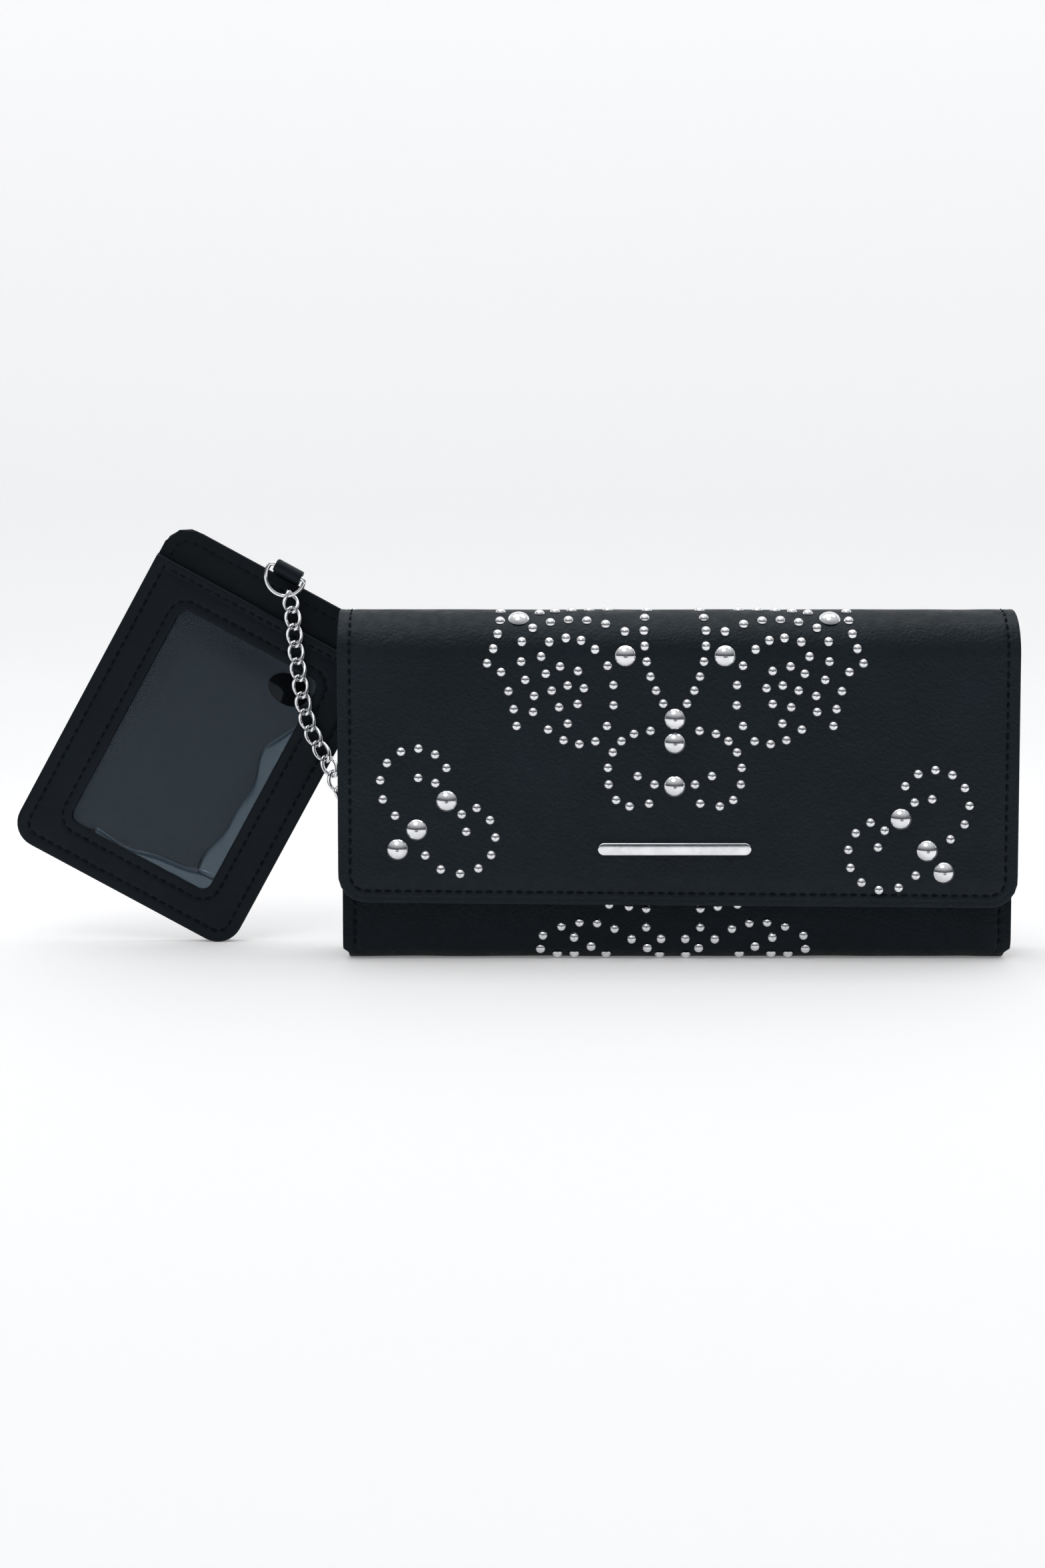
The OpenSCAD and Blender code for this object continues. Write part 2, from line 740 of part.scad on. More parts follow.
card_d_ring();
card_tab();
card_back();
card_divider();
card_welt();
card_film();
card_front();
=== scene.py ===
"""Chain wallet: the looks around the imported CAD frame. Lengths are millimetres until a mesh is made."""
import json
import math

import bmesh
import bpy
import numpy as np
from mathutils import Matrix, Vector


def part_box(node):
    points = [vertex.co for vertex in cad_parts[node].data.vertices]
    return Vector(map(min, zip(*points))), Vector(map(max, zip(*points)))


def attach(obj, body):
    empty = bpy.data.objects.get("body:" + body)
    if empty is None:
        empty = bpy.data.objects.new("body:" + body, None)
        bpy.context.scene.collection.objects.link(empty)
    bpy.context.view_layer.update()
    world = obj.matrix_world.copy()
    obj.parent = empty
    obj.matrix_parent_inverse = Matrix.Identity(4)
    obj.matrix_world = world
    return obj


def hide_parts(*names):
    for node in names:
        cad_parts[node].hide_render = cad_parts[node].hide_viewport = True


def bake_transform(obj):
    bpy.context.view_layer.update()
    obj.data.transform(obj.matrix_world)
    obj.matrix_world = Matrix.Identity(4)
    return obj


MM = 0.001
FULL_TURN = 2 * math.pi
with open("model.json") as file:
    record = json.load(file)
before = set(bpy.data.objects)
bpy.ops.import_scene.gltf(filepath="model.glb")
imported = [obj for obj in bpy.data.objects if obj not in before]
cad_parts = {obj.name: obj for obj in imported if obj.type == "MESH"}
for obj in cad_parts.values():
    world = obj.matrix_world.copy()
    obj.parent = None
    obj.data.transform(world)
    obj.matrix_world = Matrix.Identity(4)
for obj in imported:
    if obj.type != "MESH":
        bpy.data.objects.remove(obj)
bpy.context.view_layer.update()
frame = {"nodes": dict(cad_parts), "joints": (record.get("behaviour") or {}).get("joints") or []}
RNG = np.random.default_rng(7)


def box_mm(node):
    lo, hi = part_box(node)
    return np.array(lo) / MM, np.array(hi) / MM


def joint(name):
    return next(j for j in frame["joints"] if j["name"] == name)


# ---- Sizes read from the frame ---------------------------------------------------------
SHELL_LO, SHELL_HI = box_mm("outer_shell")
FLAP_LO, FLAP_HI = box_mm("flap_leather")
BODY_HALF = SHELL_HI[0]
FLAP_HALF = FLAP_HI[0]
HALF_T = SHELL_HI[1]
FRONT_Y = SHELL_LO[1]
ROLL_Z = FLAP_HI[2] - HALF_T
FLAP_EDGE_Z = FLAP_LO[2]
PANEL_TOP_Z = box_mm("gusset_left")[1][2]
BASE_R = 6.5  # folds along the base
LEATHER_T = 1.2
LINING_T = 0.6
SHEET_GAP = 0.03  # between a leather and the lining behind it
FLAP_CORNER_R = 8.0
SEAM_Z = 9.0  # where the back's leather meets the base's
STITCH_INSET = 3.5
STITCH_PITCH = 2.9
STITCH_SHARE = 0.68  # of the pitch that a stitch covers
SENSOR = 36


# ---- Camera ----------------------------------------------------------------------------
def add_camera():
    """In front of the wallet and a little above it. The small shift keeps the uprights upright."""
    distance, elevation, tilt = 690.0, math.radians(7.2), math.radians(4.2)
    target = np.array([-44.6, -HALF_T, 51.7])
    frame_height = 447.8
    cam = bpy.data.objects.new("camera", bpy.data.cameras.new("camera"))
    bpy.context.scene.collection.objects.link(cam)
    bpy.context.scene.camera = cam
    back = np.array([0, -math.cos(elevation), math.sin(elevation)])
    cam.location = Vector((target + distance * back) * MM)
    cam.rotation_euler = (math.pi / 2 - tilt, 0, 0)
    depth = distance * math.cos(elevation - tilt)
    cam.data.sensor_width = SENSOR
    cam.data.lens = SENSOR * depth / frame_height
    cam.data.shift_y = -math.tan(elevation - tilt) * cam.data.lens / SENSOR
    cam.data.clip_start, cam.data.clip_end = 0.01, 20


add_camera()


# ---- Materials -------------------------------------------------------------------------
def srgb(*rgb):
    """Linear colour of an 8-bit sRGB one."""
    return [((c / 255 + 0.055) / 1.055) ** 2.4 if c > 10 else c / 255 / 12.92 for c in rgb] + [1]


class Nodes:
    """Small helper for building a material's node tree."""

    def __init__(self, name):
        self.material = bpy.data.materials.new(name)
        self.material.use_nodes = True
        self.tree = self.material.node_tree
        self.tree.nodes.clear()
        self.shader = self.add("ShaderNodeBsdfPrincipled")
        self.link(self.shader, "BSDF", self.add("ShaderNodeOutputMaterial"), "Surface")
        self.coord = self.add("ShaderNodeTexCoord")

    def add(self, kind, **settings):
        node = self.tree.nodes.new(kind)
        for key, value in settings.items():
            if hasattr(node, key):
                setattr(node, key, value)
            else:
                node.inputs[key.replace("_", " ")].default_value = value
        return node

    def link(self, a, a_out, b, b_in):
        self.tree.links.new(a.outputs[a_out], b.inputs[b_in])

    def set(self, **values):
        """Sets the shader's own sockets."""
        for key, value in values.items():
            self.shader.inputs[key.replace("_", " ")].default_value = value

    def noise(self, size_mm, detail, stretch=(1, 1, 1)):
        node = self.add("ShaderNodeTexNoise", Scale=1.0, Detail=detail)
        self.link(self.mapped(size_mm, stretch), "Vector", node, "Vector")
        return node

    def mapped(self, size_mm, stretch=(1, 1, 1)):
        """Object coordinates in units of size_mm."""
        node = self.add("ShaderNodeMapping")
        node.inputs["Scale"].default_value = [s / (size_mm * MM) for s in stretch]
        self.link(self.coord, "Object", node, "Vector")
        return node

    def ramp(self, source, out, stops):
        node = self.add("ShaderNodeValToRGB")
        elements = node.color_ramp.elements
        while len(elements) < len(stops):
            elements.new(0.5)
        for element, (position, colour) in zip(elements, stops):
            element.position = position
            element.color = colour
        self.link(source, out, node, "Fac")
        return node

    def tint(self, source, out, stops, socket="Base Color"):
        self.link(self.ramp(source, out, stops), "Color", self.shader, socket)

    def gloss(self, source, low, high, rough):
        """Roughness that goes from rough[0] to rough[1] as the source's factor goes from low to high."""
        self.tint(source, "Fac", [(low, grey(rough[0])), (high, grey(rough[1]))], "Roughness")

    def math(self, operation, a, b):
        node = self.add("ShaderNodeMath", operation=operation)
        for i, value in enumerate((a, b)):
            if isinstance(value, tuple):
                self.tree.links.new(value[0].outputs[value[1]], node.inputs[i])
            else:
                node.inputs[i].default_value = value
        return node

    def bump(self, height, out, strength, distance_mm, after=None):
        node = self.add("ShaderNodeBump", Strength=strength, Distance=distance_mm * MM)
        self.link(height, out, node, "Height")
        if after:
            self.link(after, "Normal", node, "Normal")
        self.link(node, "Normal", self.shader, "Normal")
        return node


def grey(value):
    return (value, value, value, 1)


COOL = (0.75, 0.9, 1.0, 1)


def leather(name, dark, light, grain_mm=0.9, grain=0.75, rough=(0.42, 0.58), specular=0.26):
    """Pebbled or smooth leather: mottled colour, uneven gloss, grain and faint creases."""
    n = Nodes(name)
    blotch = n.noise(size_mm=22, detail=3)
    n.tint(blotch, "Fac", [(0.3, dark), (0.72, light)])
    cells = n.add("ShaderNodeTexVoronoi", feature="SMOOTH_F1", Scale=1.0, Smoothness=0.35)
    warp = n.noise(size_mm=grain_mm * 3, detail=2)
    place = n.add("ShaderNodeVectorMath", operation="MULTIPLY_ADD")
    n.link(warp, "Color", place, 0)
    place.inputs[1].default_value = (0.7, 0.7, 0.7)
    n.link(n.mapped(grain_mm), "Vector", place, 2)
    n.link(place, "Vector", cells, "Vector")
    crease = n.noise(size_mm=grain_mm * 4.5, detail=4)
    height = n.math("ADD", (cells, "Distance"), (crease, "Fac"))
    pebbles = n.bump(height, "Value", strength=grain, distance_mm=grain_mm * 0.2)
    soft = n.noise(size_mm=9, detail=3)
    n.bump(soft, "Fac", strength=0.25, distance_mm=0.5, after=pebbles)
    n.gloss(n.noise(size_mm=3.2, detail=3), 0.3, 0.7, rough)
    n.set(Specular_IOR_Level=specular, Specular_Tint=(0.8, 0.93, 1.0, 1))
    return n.material


def fabric(name, dark, light, thread_mm=0.35):
    """Plain weave: two crossed sets of threads, with a slight colour change between them."""
    n = Nodes(name)
    warp = n.add("ShaderNodeTexWave", Scale=1.0, Distortion=0.6, Detail=1.0)
    weft = n.add("ShaderNodeTexWave", bands_direction="Z", Scale=1.0, Distortion=0.6, Detail=1.0)
    for wave in (warp, weft):
        n.link(n.mapped(thread_mm * 20), "Vector", wave, "Vector")
    height = n.math("MULTIPLY", (warp, "Fac"), (weft, "Fac"))
    n.tint(height, "Value", [(0.0, dark), (0.8, light)])
    n.bump(height, "Value", strength=0.5, distance_mm=0.12)
    n.set(Roughness=0.85, Specular_IOR_Level=0.2, Sheen_Weight=0.15)
    return n.material


def metal(name, colour, rough=(0.08, 0.16)):
    """Polished plate: faint streaks in the gloss and hairline scratches."""
    n = Nodes(name)
    n.set(Metallic=1.0)
    tone = n.noise(size_mm=3, detail=2)
    worn = [c * 0.86 for c in colour[:3]] + [1]
    n.tint(tone, "Fac", [(0.3, worn), (0.6, colour)])
    streaks = n.noise(size_mm=1.2, detail=3, stretch=(1, 1, 6))
    n.gloss(streaks, 0.35, 0.75, rough)
    n.bump(streaks, "Fac", strength=0.05, distance_mm=0.02)
    return n.material


def clear_film(name, ior, rough):
    """Clear flexible film: see-through with a wavy gloss and a cool tint."""
    n = Nodes(name)
    n.set(Base_Color=(0.78, 0.9, 1.0, 1), Transmission_Weight=0.985, IOR=ior, Specular_Tint=COOL)
    waves = n.noise(size_mm=26, detail=1, stretch=(1, 1, 0.6))
    n.gloss(waves, 0.3, 0.7, (rough, rough * 2.2))
    n.bump(waves, "Fac", strength=0.3, distance_mm=2)
    return n.material


def thread(name, dark, light):
    """Waxed sewing thread, twisted."""
    n = Nodes(name)
    twist = n.add("ShaderNodeTexWave", bands_direction="DIAGONAL", Scale=1.0, Distortion=1.0)
    n.link(n.mapped(4), "Vector", twist, "Vector")
    n.tint(twist, "Fac", [(0.2, dark), (0.8, light)])
    n.bump(twist, "Fac", strength=0.4, distance_mm=0.05)
    n.set(Roughness=0.6, Specular_IOR_Level=0.12, Specular_Tint=COOL)
    return n.material


FLAP_LEATHER = leather("flap_leather", srgb(9, 15, 21), srgb(15, 22, 30))
# The body's leather is the flap's leather painted darker, with less sheen: painted shade for the front strip
# that lies under the flap's overhang.
SHADED_BODY_LEATHER = leather("body_leather", srgb(6, 10, 15), srgb(11, 16, 22), specular=0.16)
INNER_LEATHER = leather("inner_leather", srgb(22, 26, 31), srgb(29, 34, 40), grain_mm=0.7, grain=0.3,
                        rough=(0.5, 0.65))
CARD_LEATHER = leather("card_leather", srgb(13, 17, 22), srgb(18, 23, 29), grain_mm=0.6, grain=0.3,
                       rough=(0.42, 0.55), specular=0.17)
CARD_LINING = leather("card_lining", srgb(9, 12, 16), srgb(14, 18, 23), grain_mm=0.6, grain=0.2,
                      rough=(0.5, 0.62), specular=0.17)
LINING = fabric("lining_fabric", srgb(24, 25, 28), srgb(44, 46, 50))
TAPE = fabric("zipper_tape", srgb(14, 14, 16), srgb(32, 33, 36), thread_mm=0.25)
BLACK_THREAD = thread("black_thread", srgb(3, 5, 8), srgb(11, 15, 21))
STUDS = metal("stud_metal", (0.86, 0.87, 0.89, 1))
CHAIN = metal("chain_metal", (0.9, 0.91, 0.93, 1), rough=(0.1, 0.2))
ZIPPER = metal("zipper_metal", (0.7, 0.71, 0.73, 1), rough=(0.18, 0.3))
SNAP = metal("snap_metal", (0.72, 0.73, 0.75, 1), rough=(0.15, 0.28))
FILM = clear_film("clear_film", ior=1.24, rough=0.1)
FILM_EDGE = clear_film("clear_film_edge", ior=1.5, rough=0.05)
# Near-black leather for the thumb cut-out's plate: painted shade where the cut-out shows the shaded inside of
# the holder.
NOTCH_SHADE_LEATHER = leather("thumb_notch_painted_shade", srgb(2, 3, 5), srgb(5, 7, 9), grain_mm=0.6, grain=0.2, rough=(0.7, 0.8),
               specular=0.06)


# ---- Mesh helpers ----------------------------------------------------------------------
def add_piece(name, mesh, bm, material, body, replaces):
    """Puts a finished bmesh into the scene as a smooth object. It rides on body, if one is given."""
    bm.to_mesh(mesh)
    bm.free()
    mesh.materials.clear()
    mesh.materials.append(material)
    mesh.shade_smooth()
    obj = bpy.data.objects.new(name, mesh)
    bpy.context.scene.collection.objects.link(obj)
    if body:
        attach(obj, body)
    if replaces:
        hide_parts(*replaces)
    return obj


def make(name, points, faces, material, body=None, slot=None, replaces=(), weld=0.0):
    """An object from points in millimetres."""
    mesh = bpy.data.meshes.new(name)
    mesh.from_pydata((np.asarray(points) * MM).tolist(), [], [tuple(int(i) for i in f) for f in faces])
    bm = bmesh.new()
    bm.from_mesh(mesh)
    if weld:
        bmesh.ops.remove_doubles(bm, verts=bm.verts, dist=weld * MM)
        bmesh.ops.dissolve_degenerate(bm, dist=1e-7, edges=bm.edges)
    bmesh.ops.recalc_face_normals(bm, faces=bm.faces)
    return add_piece(name, mesh, bm, material, body, replaces)


def smoothstep(a, b, x):
    """0 below a, 1 above b, and an S-curve between them."""
    t = np.clip((np.asarray(x, float) - a) / (b - a), 0, 1)
    return t * t * (3 - 2 * t)


def dent(x, centre, width):
    """A smooth bump of height 1 at the centre, for sewn lines and ripples."""
    return np.exp(-(((x - centre) / width) ** 2))


class Path:
    """A line of straight and round stretches in (Y, Z), with its outward normal on the right."""

    def __init__(self, *parts):
        straight_step, degrees_step = 0.5, 2.5
        points = []
        for part in parts:
            if len(part) == 2:
                a, b = np.array(part[0], float), np.array(part[1], float)
                count = max(2, int(np.linalg.norm(b - a) / straight_step))
                points += [a + (b - a) * i / count for i in range(count)]
                last = b
            else:
                centre, r, a0, a1 = part
                count = max(6, int(abs(a1 - a0) / degrees_step))
                ring = [np.array(centre) + r * np.array([math.cos(t), math.sin(t)])
                        for t in np.radians(np.linspace(a0, a1, count + 1))]
                points += ring[:-1]
                last = ring[-1]
        p = np.array(points + [last])
        step = np.linalg.norm(np.diff(p, axis=0), axis=1)
        self.s = np.concatenate([[0], np.cumsum(step)])
        self.p = p
        t = np.gradient(p, self.s, axis=0)
        t /= np.linalg.norm(t, axis=1)[:, None]
        self.n = np.stack([t[:, 1], -t[:, 0]], 1)
        self.length = self.s[-1]

    def at(self, s, h):
        """The point at length s along the line and height h outside it."""
        y, z, ny, nz = (np.interp(s, self.s, c) for c in (*self.p.T, *self.n.T))
        size = np.hypot(ny, nz)
        return y + h * ny / size, z + h * nz / size


class Outline:
    """A rectangle with its own radius at each corner, inset to any depth. Corners: 0 low left, 1 low right,
    2 high right, 3 high left."""

    SIGNS = ((-1, -1), (1, -1), (1, 1), (-1, 1))

    def __init__(self, u0, u1, v0, v1, radii):
        self.box = (u0, u1, v0, v1)
        self.radii = radii if hasattr(radii, "__len__") else (radii,) * 4

    def corner(self, i, inset, share, along_u):
        """Point share of the way from the middle of corner i's arc to reach, on one of its two sides."""
        u0, u1, v0, v1 = self.box
        su, sv = self.SIGNS[i]
        key = np.array([u0 if su < 0 else u1, v0 if sv < 0 else v1], float)
        e1, e2 = np.array([-su, 0.0]), np.array([0.0, -sv])
        key = key + inset * (e1 + e2)
        if not along_u:
            e1, e2 = e2, e1
        r = max(self.radii[i] - inset, 0)
        arc = math.pi / 4 * r
        a = share * (arc + self.reach - inset - r)
        if a < arc:
            t = math.pi / 4 - a / r
            return key + r * (e1 + e2) - r * (e1 * math.sin(t) + e2 * math.cos(t))
        return key + (r + a - arc) * e1

    def loop(self, insets, depth, us, vs, q):
        """Rings of points round the grid us x vs, whose edge lies at depth. One ring for each inset."""
        self.reach = q + depth
        u0, u1, v0, v1 = self.box
        around = [(u, 0) for u in us[:-1]] + [(v, 1) for v in vs[:-1]]
        around += [(u, 2) for u in us[:0:-1]] + [(v, 3) for v in vs[:0:-1]]
        rings = []
        for inset in insets:
            ring = []
            for c, side in around:
                along_u = side in (0, 2)
                lo, hi = (us[0], us[-1]) if along_u else (vs[0], vs[-1])
                if c - lo < q - 1e-9:
                    i = {0: 0, 1: 1, 2: 3, 3: 0}[side]
                    ring.append(self.corner(i, inset, (c - lo) / q, along_u))
                elif hi - c < q - 1e-9:
                    i = {0: 1, 1: 2, 2: 2, 3: 3}[side]
                    ring.append(self.corner(i, inset, (hi - c) / q, along_u))
                else:
                    ring.append(np.array({0: (c, v0 + inset), 1: (u1 - inset, c),
                                          2: (c, v1 - inset), 3: (u0 + inset, c)}[side], float))
            rings.append(np.array(ring))
        return rings

    def line(self, inset, per_side=(1, 1), per_corner=7, least_r=1e-4):
        """Closed line at an inset, with a fixed count of points on each side and corner. A corner whose
        radius is less than the inset gets least_r."""
        u0, u1, v0, v1 = self.box
        u0, u1, v0, v1 = u0 + inset, u1 - inset, v0 + inset, v1 - inset
        r = [max(x - inset, least_r) for x in self.radii]
        c = [(u0 + r[0], v0 + r[0]), (u1 - r[1], v0 + r[1]), (u1 - r[2], v1 - r[2]), (u0 + r[3], v1 - r[3])]
        points = []
        for k in range(4):
            b, n = (k + 1) % 4, per_side[k % 2]
            start = math.radians(-90 + 90 * k)
            way = np.array([math.cos(start), math.sin(start)])
            p, q = np.array(c[k]) + r[k] * way, np.array(c[b]) + r[b] * way
            points += [p + (q - p) * i / n for i in range(n)]
            points += [np.array(c[b]) + r[b] * np.array([math.cos(t), math.sin(t)])
                       for t in np.linspace(start, start + math.pi / 2, per_corner + 1)[:-1]]
        return np.array(points)


EDGE_ROUND = np.radians([0, 22, 45, 68, 90])  # where a sheet's round edge has its rings


def spaced(a, b, step):
    return np.linspace(a, b, max(2, int(round((b - a) / step)) + 1))


def panel(name, outline, place, top, bottom, material, grid=2.5, depth=6.0, q=10.0, insets=(), **kw):
    """A closed sheet: place(u, v, h) puts a point at height h, top and bottom give the two faces' heights
    from (distance to the edge, u, v), and the edge between them is round."""
    u0, u1, v0, v1 = outline.box
    us, vs = spaced(u0 + depth, u1 - depth, grid), spaced(v0 + depth, v1 - depth, grid)
    q = min(q, (us[-1] - us[0]) / 2.01, (vs[-1] - vs[0]) / 2.01)
    probe = np.array([depth]), np.array([(u0 + u1) / 2]), np.array([(v0 + v1) / 2])
    half = float(top(*probe)[0] - bottom(*probe)[0]) / 2
    fixed = [half * (1 - math.cos(t)) for t in EDGE_ROUND]
    inner = sorted({round(i, 3) for i in insets if half < i < depth}) or [(half + depth) / 2]
    rings = outline.loop(fixed + list(inner), depth, us, vs, q)
    ring_d = np.array(fixed + list(inner))
    nu, nv = len(us), len(vs)
    gu, gv = np.meshgrid(us, vs, indexing="ij")
    gu, gv = gu.ravel(), gv.ravel()
    gd = np.minimum.reduce([gu - u0, u1 - gu, gv - v0, v1 - gv])
    count = len(rings[0])
    uv = np.concatenate(rings + [np.stack([gu, gv], 1)])
    d = np.concatenate([np.full(count, x) for x in ring_d] + [gd])
    u, v = uv[:, 0], uv[:, 1]
    round_off = np.sqrt(np.clip(1 - (1 - np.clip(d / half, 0, 1)) ** 2, 0, 1))
    ht, hb = top(d, u, v), bottom(d, u, v)
    mid = (ht + hb) / 2
    faces_of = []
    index = lambda i, j: len(rings) * count + i * nv + j
    edge = [index(i, 0) for i in range(nu - 1)] + [index(nu - 1, j) for j in range(nv - 1)]
    edge += [index(i, nv - 1) for i in range(nu - 1, 0, -1)] + [index(0, j) for j in range(nv - 1, 0, -1)]
    levels = [list(range(k * count, (k + 1) * count)) for k in range(len(rings))] + [edge]
    for a, b in zip(levels, levels[1:]):
        faces_of += [(a[i], a[(i + 1) % count], b[(i + 1) % count], b[i]) for i in range(count)]
    faces_of += [(index(i, j), index(i + 1, j), index(i + 1, j + 1), index(i, j + 1))
                 for i in range(nu - 1) for j in range(nv - 1)]
    total = len(uv)
    upper = np.stack(place(u, v, mid + (ht - mid) * round_off), 1)
    lower = np.stack(place(u, v, mid + (hb - mid) * round_off), 1)
    swap = lambda i: i if i < count else i + total
    faces = faces_of + [tuple(swap(i) for i in reversed(f)) for f in faces_of]
    return make(name, np.concatenate([upper, lower]), faces, material, **kw)


def flat(value):
    """A face of a panel at one height."""
    return lambda d, u, v: np.full(len(d), float(value))


def level(value):
    """A row of stitches at one height."""
    return lambda u, v: np.full(len(u), float(value))


def resample(line, pitch, closed):
    """Where stitches go along a line, their true pitch, a lookup of points on it, and its length."""
    p = np.array(line, float)
    if closed:
        p = np.concatenate([p, p[:1]])
    step = np.linalg.norm(np.diff(p, axis=0), axis=1)
    keep = np.concatenate([[True], step > 1e-6])
    p = p[keep]
    s = np.concatenate([[0], np.cumsum(np.linalg.norm(np.diff(p, axis=0), axis=1))])
    count = max(1, int(round(s[-1] / pitch)))
    at = (np.arange(count) + 0.5) * s[-1] / count
    look = lambda x: np.stack([np.interp(x, s, p[:, 0]), np.interp(x, s, p[:, 1])], -1)
    return at, s[-1] / count, look, s[-1]


def stitches(name, lines, place, lift, body=None, radius=0.3, closed=False, side=1):
    """A row of thread stitches along lines in (u, v): each dips into the surface at its ends."""
    rows, sides, tip, sink = 6, 6, 0.08, 0.72
    points, faces = [], []
    for line in lines:
        at, pitch, look, total = resample(line, STITCH_PITCH, closed)
        for s in at:
            base = len(points)
            for k in range(rows + 1):
                t = k / rows
                x = np.clip(s + (t - 0.5) * pitch * STITCH_SHARE, 0, total)
                p, ahead = look(x), look(min(x + 0.05, total)) - look(max(x - 0.05, 0))
                ahead = ahead / (np.linalg.norm(ahead) + 1e-9)
                across = np.array([-ahead[1], ahead[0]])
                swell = math.sin(math.pi * (tip + (1 - 2 * tip) * t)) ** 0.5
                for j in range(sides):
                    a = FULL_TURN * j / sides
                    w = radius * swell * math.cos(a)
                    h = radius * swell * math.sin(a) + (swell - sink) * radius
                    points.append((p[0] + across[0] * w, p[1] + across[1] * w, h))
            for k in range(rows):
                for j in range(sides):
                    a, b = base + k * sides + j, base + k * sides + (j + 1) % sides
                    faces.append((a, b, b + sides, a + sides))
            faces.append(tuple(base + j for j in reversed(range(sides))))
            faces.append(tuple(base + rows * sides + j for j in range(sides)))
    p = np.array(points)
    xyz = np.stack(place(p[:, 0], p[:, 1], lift(p[:, 0], p[:, 1]) + side * p[:, 2]), 1)
    return make(name, xyz, faces, BLACK_THREAD, body)


def tube(name, centres, radius, material, sides=12, **kw):
    """A closed round wire along centres, with frames carried along the line."""
    c = np.array(centres, float)
    ahead = np.roll(c, -1, 0) - np.roll(c, 1, 0)
    ahead /= np.linalg.norm(ahead, axis=1)[:, None]
    normal = np.cross(ahead[0], [0.3, 1, 0.2])
    frames = []
    for t in ahead:
        normal = normal - t * (normal @ t)
        normal /= np.linalg.norm(normal)
        frames.append((normal, np.cross(t, normal)))
    end = frames[-1][0] - ahead[0] * (frames[-1][0] @ ahead[0])
    turn = math.atan2(end @ frames[0][1], end @ frames[0][0])
    count = len(c)
    points = []
    for i, (a, b) in enumerate(frames):
        fix = -turn * i / (count - 1)
        for j in range(sides):
            t = FULL_TURN * j / sides + fix
            points.append(c[i] + radius * (a * math.cos(t) + b * math.sin(t)))
    faces = [(i * sides + j, i * sides + (j + 1) % sides, (i + 1) % count * sides + (j + 1) % sides,
              (i + 1) % count * sides + j) for i in range(count) for j in range(sides)]
    return make(name, points, faces, material, **kw)


def dress(node, material):
    """Gives a CAD node whose shape is right its material."""
    obj = frame["nodes"][node]
    obj.data.materials.clear()
    obj.data.materials.append(material)


def rounded_copy(node, name, bevel_mm, material, body):
    """Stands for a CAD node with hard edges: the same solid with its edges rounded."""
    flat_angle, sharp_angle = math.radians(1), math.radians(35)
    mesh = frame["nodes"][node].data.copy()
    bm = bmesh.new()
    bm.from_mesh(mesh)
    bmesh.ops.remove_doubles(bm, verts=bm.verts, dist=1e-6)
    bmesh.ops.dissolve_limit(bm, angle_limit=flat_angle, verts=bm.verts, edges=bm.edges)
    sharp = [e for e in bm.edges if len(e.link_faces) == 2 and e.calc_face_angle(0) > sharp_angle]
    bmesh.ops.bevel(bm, geom=sharp, offset=bevel_mm * MM, segments=3, profile=0.5, affect="EDGES",
                    clamp_overlap=True)
    add_piece(name, mesh, bm, material, body, (node,))


# ---- Soft unevenness of the leather ----------------------------------------------------
WAVES = [(RNG.uniform(18, 60), RNG.uniform(0, FULL_TURN), RNG.uniform(0, FULL_TURN)) for _ in range(9)]


def waviness(u, v, size):
    """Heights of up to size from a few long waves, each of its own period, heading and phase."""
    total = np.zeros(len(u))
    for period, heading, phase in WAVES:
        total += np.sin(FULL_TURN / period * (u * math.cos(heading) + v * math.sin(heading)) + phase)
    return size * total / len(WAVES)


# ---- Flap and back: one leather, which bends at the hinge ------------------------------
COVER = Path(((HALF_T, SEAM_Z), (HALF_T, ROLL_Z)), ((0, ROLL_Z), HALF_T, 0, 180),
             ((-HALF_T, ROLL_Z), (-HALF_T, FLAP_EDGE_Z)))
BACK_L = ROLL_Z - SEAM_Z
ROLL_L = math.pi * HALF_T
FRONT_S = BACK_L + ROLL_L
EDGE_SLOPE = 0.85  # how far the flap's lower edge drops at the right and rises at the left
WIDEN_L = 22  # the length over which the cover widens from the body's width to the flap's


def cover_place(u, v, h):
    grow = smoothstep(BACK_L, BACK_L + WIDEN_L, v)
    x = u * (BODY_HALF + (FLAP_HALF - BODY_HALF) * grow) / FLAP_HALF
    y, z = COVER.at(v, h)
    drop = smoothstep(FRONT_S, COVER.length, v)
    return x, y, z - EDGE_SLOPE * drop * u / FLAP_HALF


def on_flap(v):
    """0 on the back and roll, 1 on the flap's front."""
    return smoothstep(FRONT_S - 10, FRONT_S + 6, v)


BORDER_DROP = 0.5  # how far the sewn border lies below the padded middle of the flap
SEW_DEPTH, SEW_WIDTH = 0.28, 0.55


def cover_top(d, u, v):
    border = BORDER_DROP * (1 - smoothstep(3.8, 8.5, d)) * on_flap(v)
    sewn = SEW_DEPTH * dent(d, STITCH_INSET, SEW_WIDTH) + 0.1 * dent(d, 1.75, 0.3)
    wavy = np.minimum(waviness(u, v, 0.35) - 0.1, 0) * smoothstep(6, 16, d)
    return -border - sewn + wavy * 0.5


cover_outline = Outline(-FLAP_HALF, FLAP_HALF, 0, COVER.length, (1.5, 1.5, FLAP_CORNER_R, FLAP_CORNER_R))
RINGS = (0.9, 1.2, 1.5, 1.75, 2.0, 2.4, 2.8, 3.1, 3.3, 3.5, 3.7, 3.9, 4.3, 5.0, 6.0, 7.2, 8.5)
cover = panel("flap_and_back_leather", cover_outline, cover_place, cover_top, flat(-LEATHER_T),
              FLAP_LEATHER, grid=1.6, depth=10, q=14, insets=RINGS, slot="flap_leather",
              replaces=("flap_leather", "flap_foam"))

HINGE_YZ = np.array(joint("flap_hinge")["pos_m"][1:]) / MM


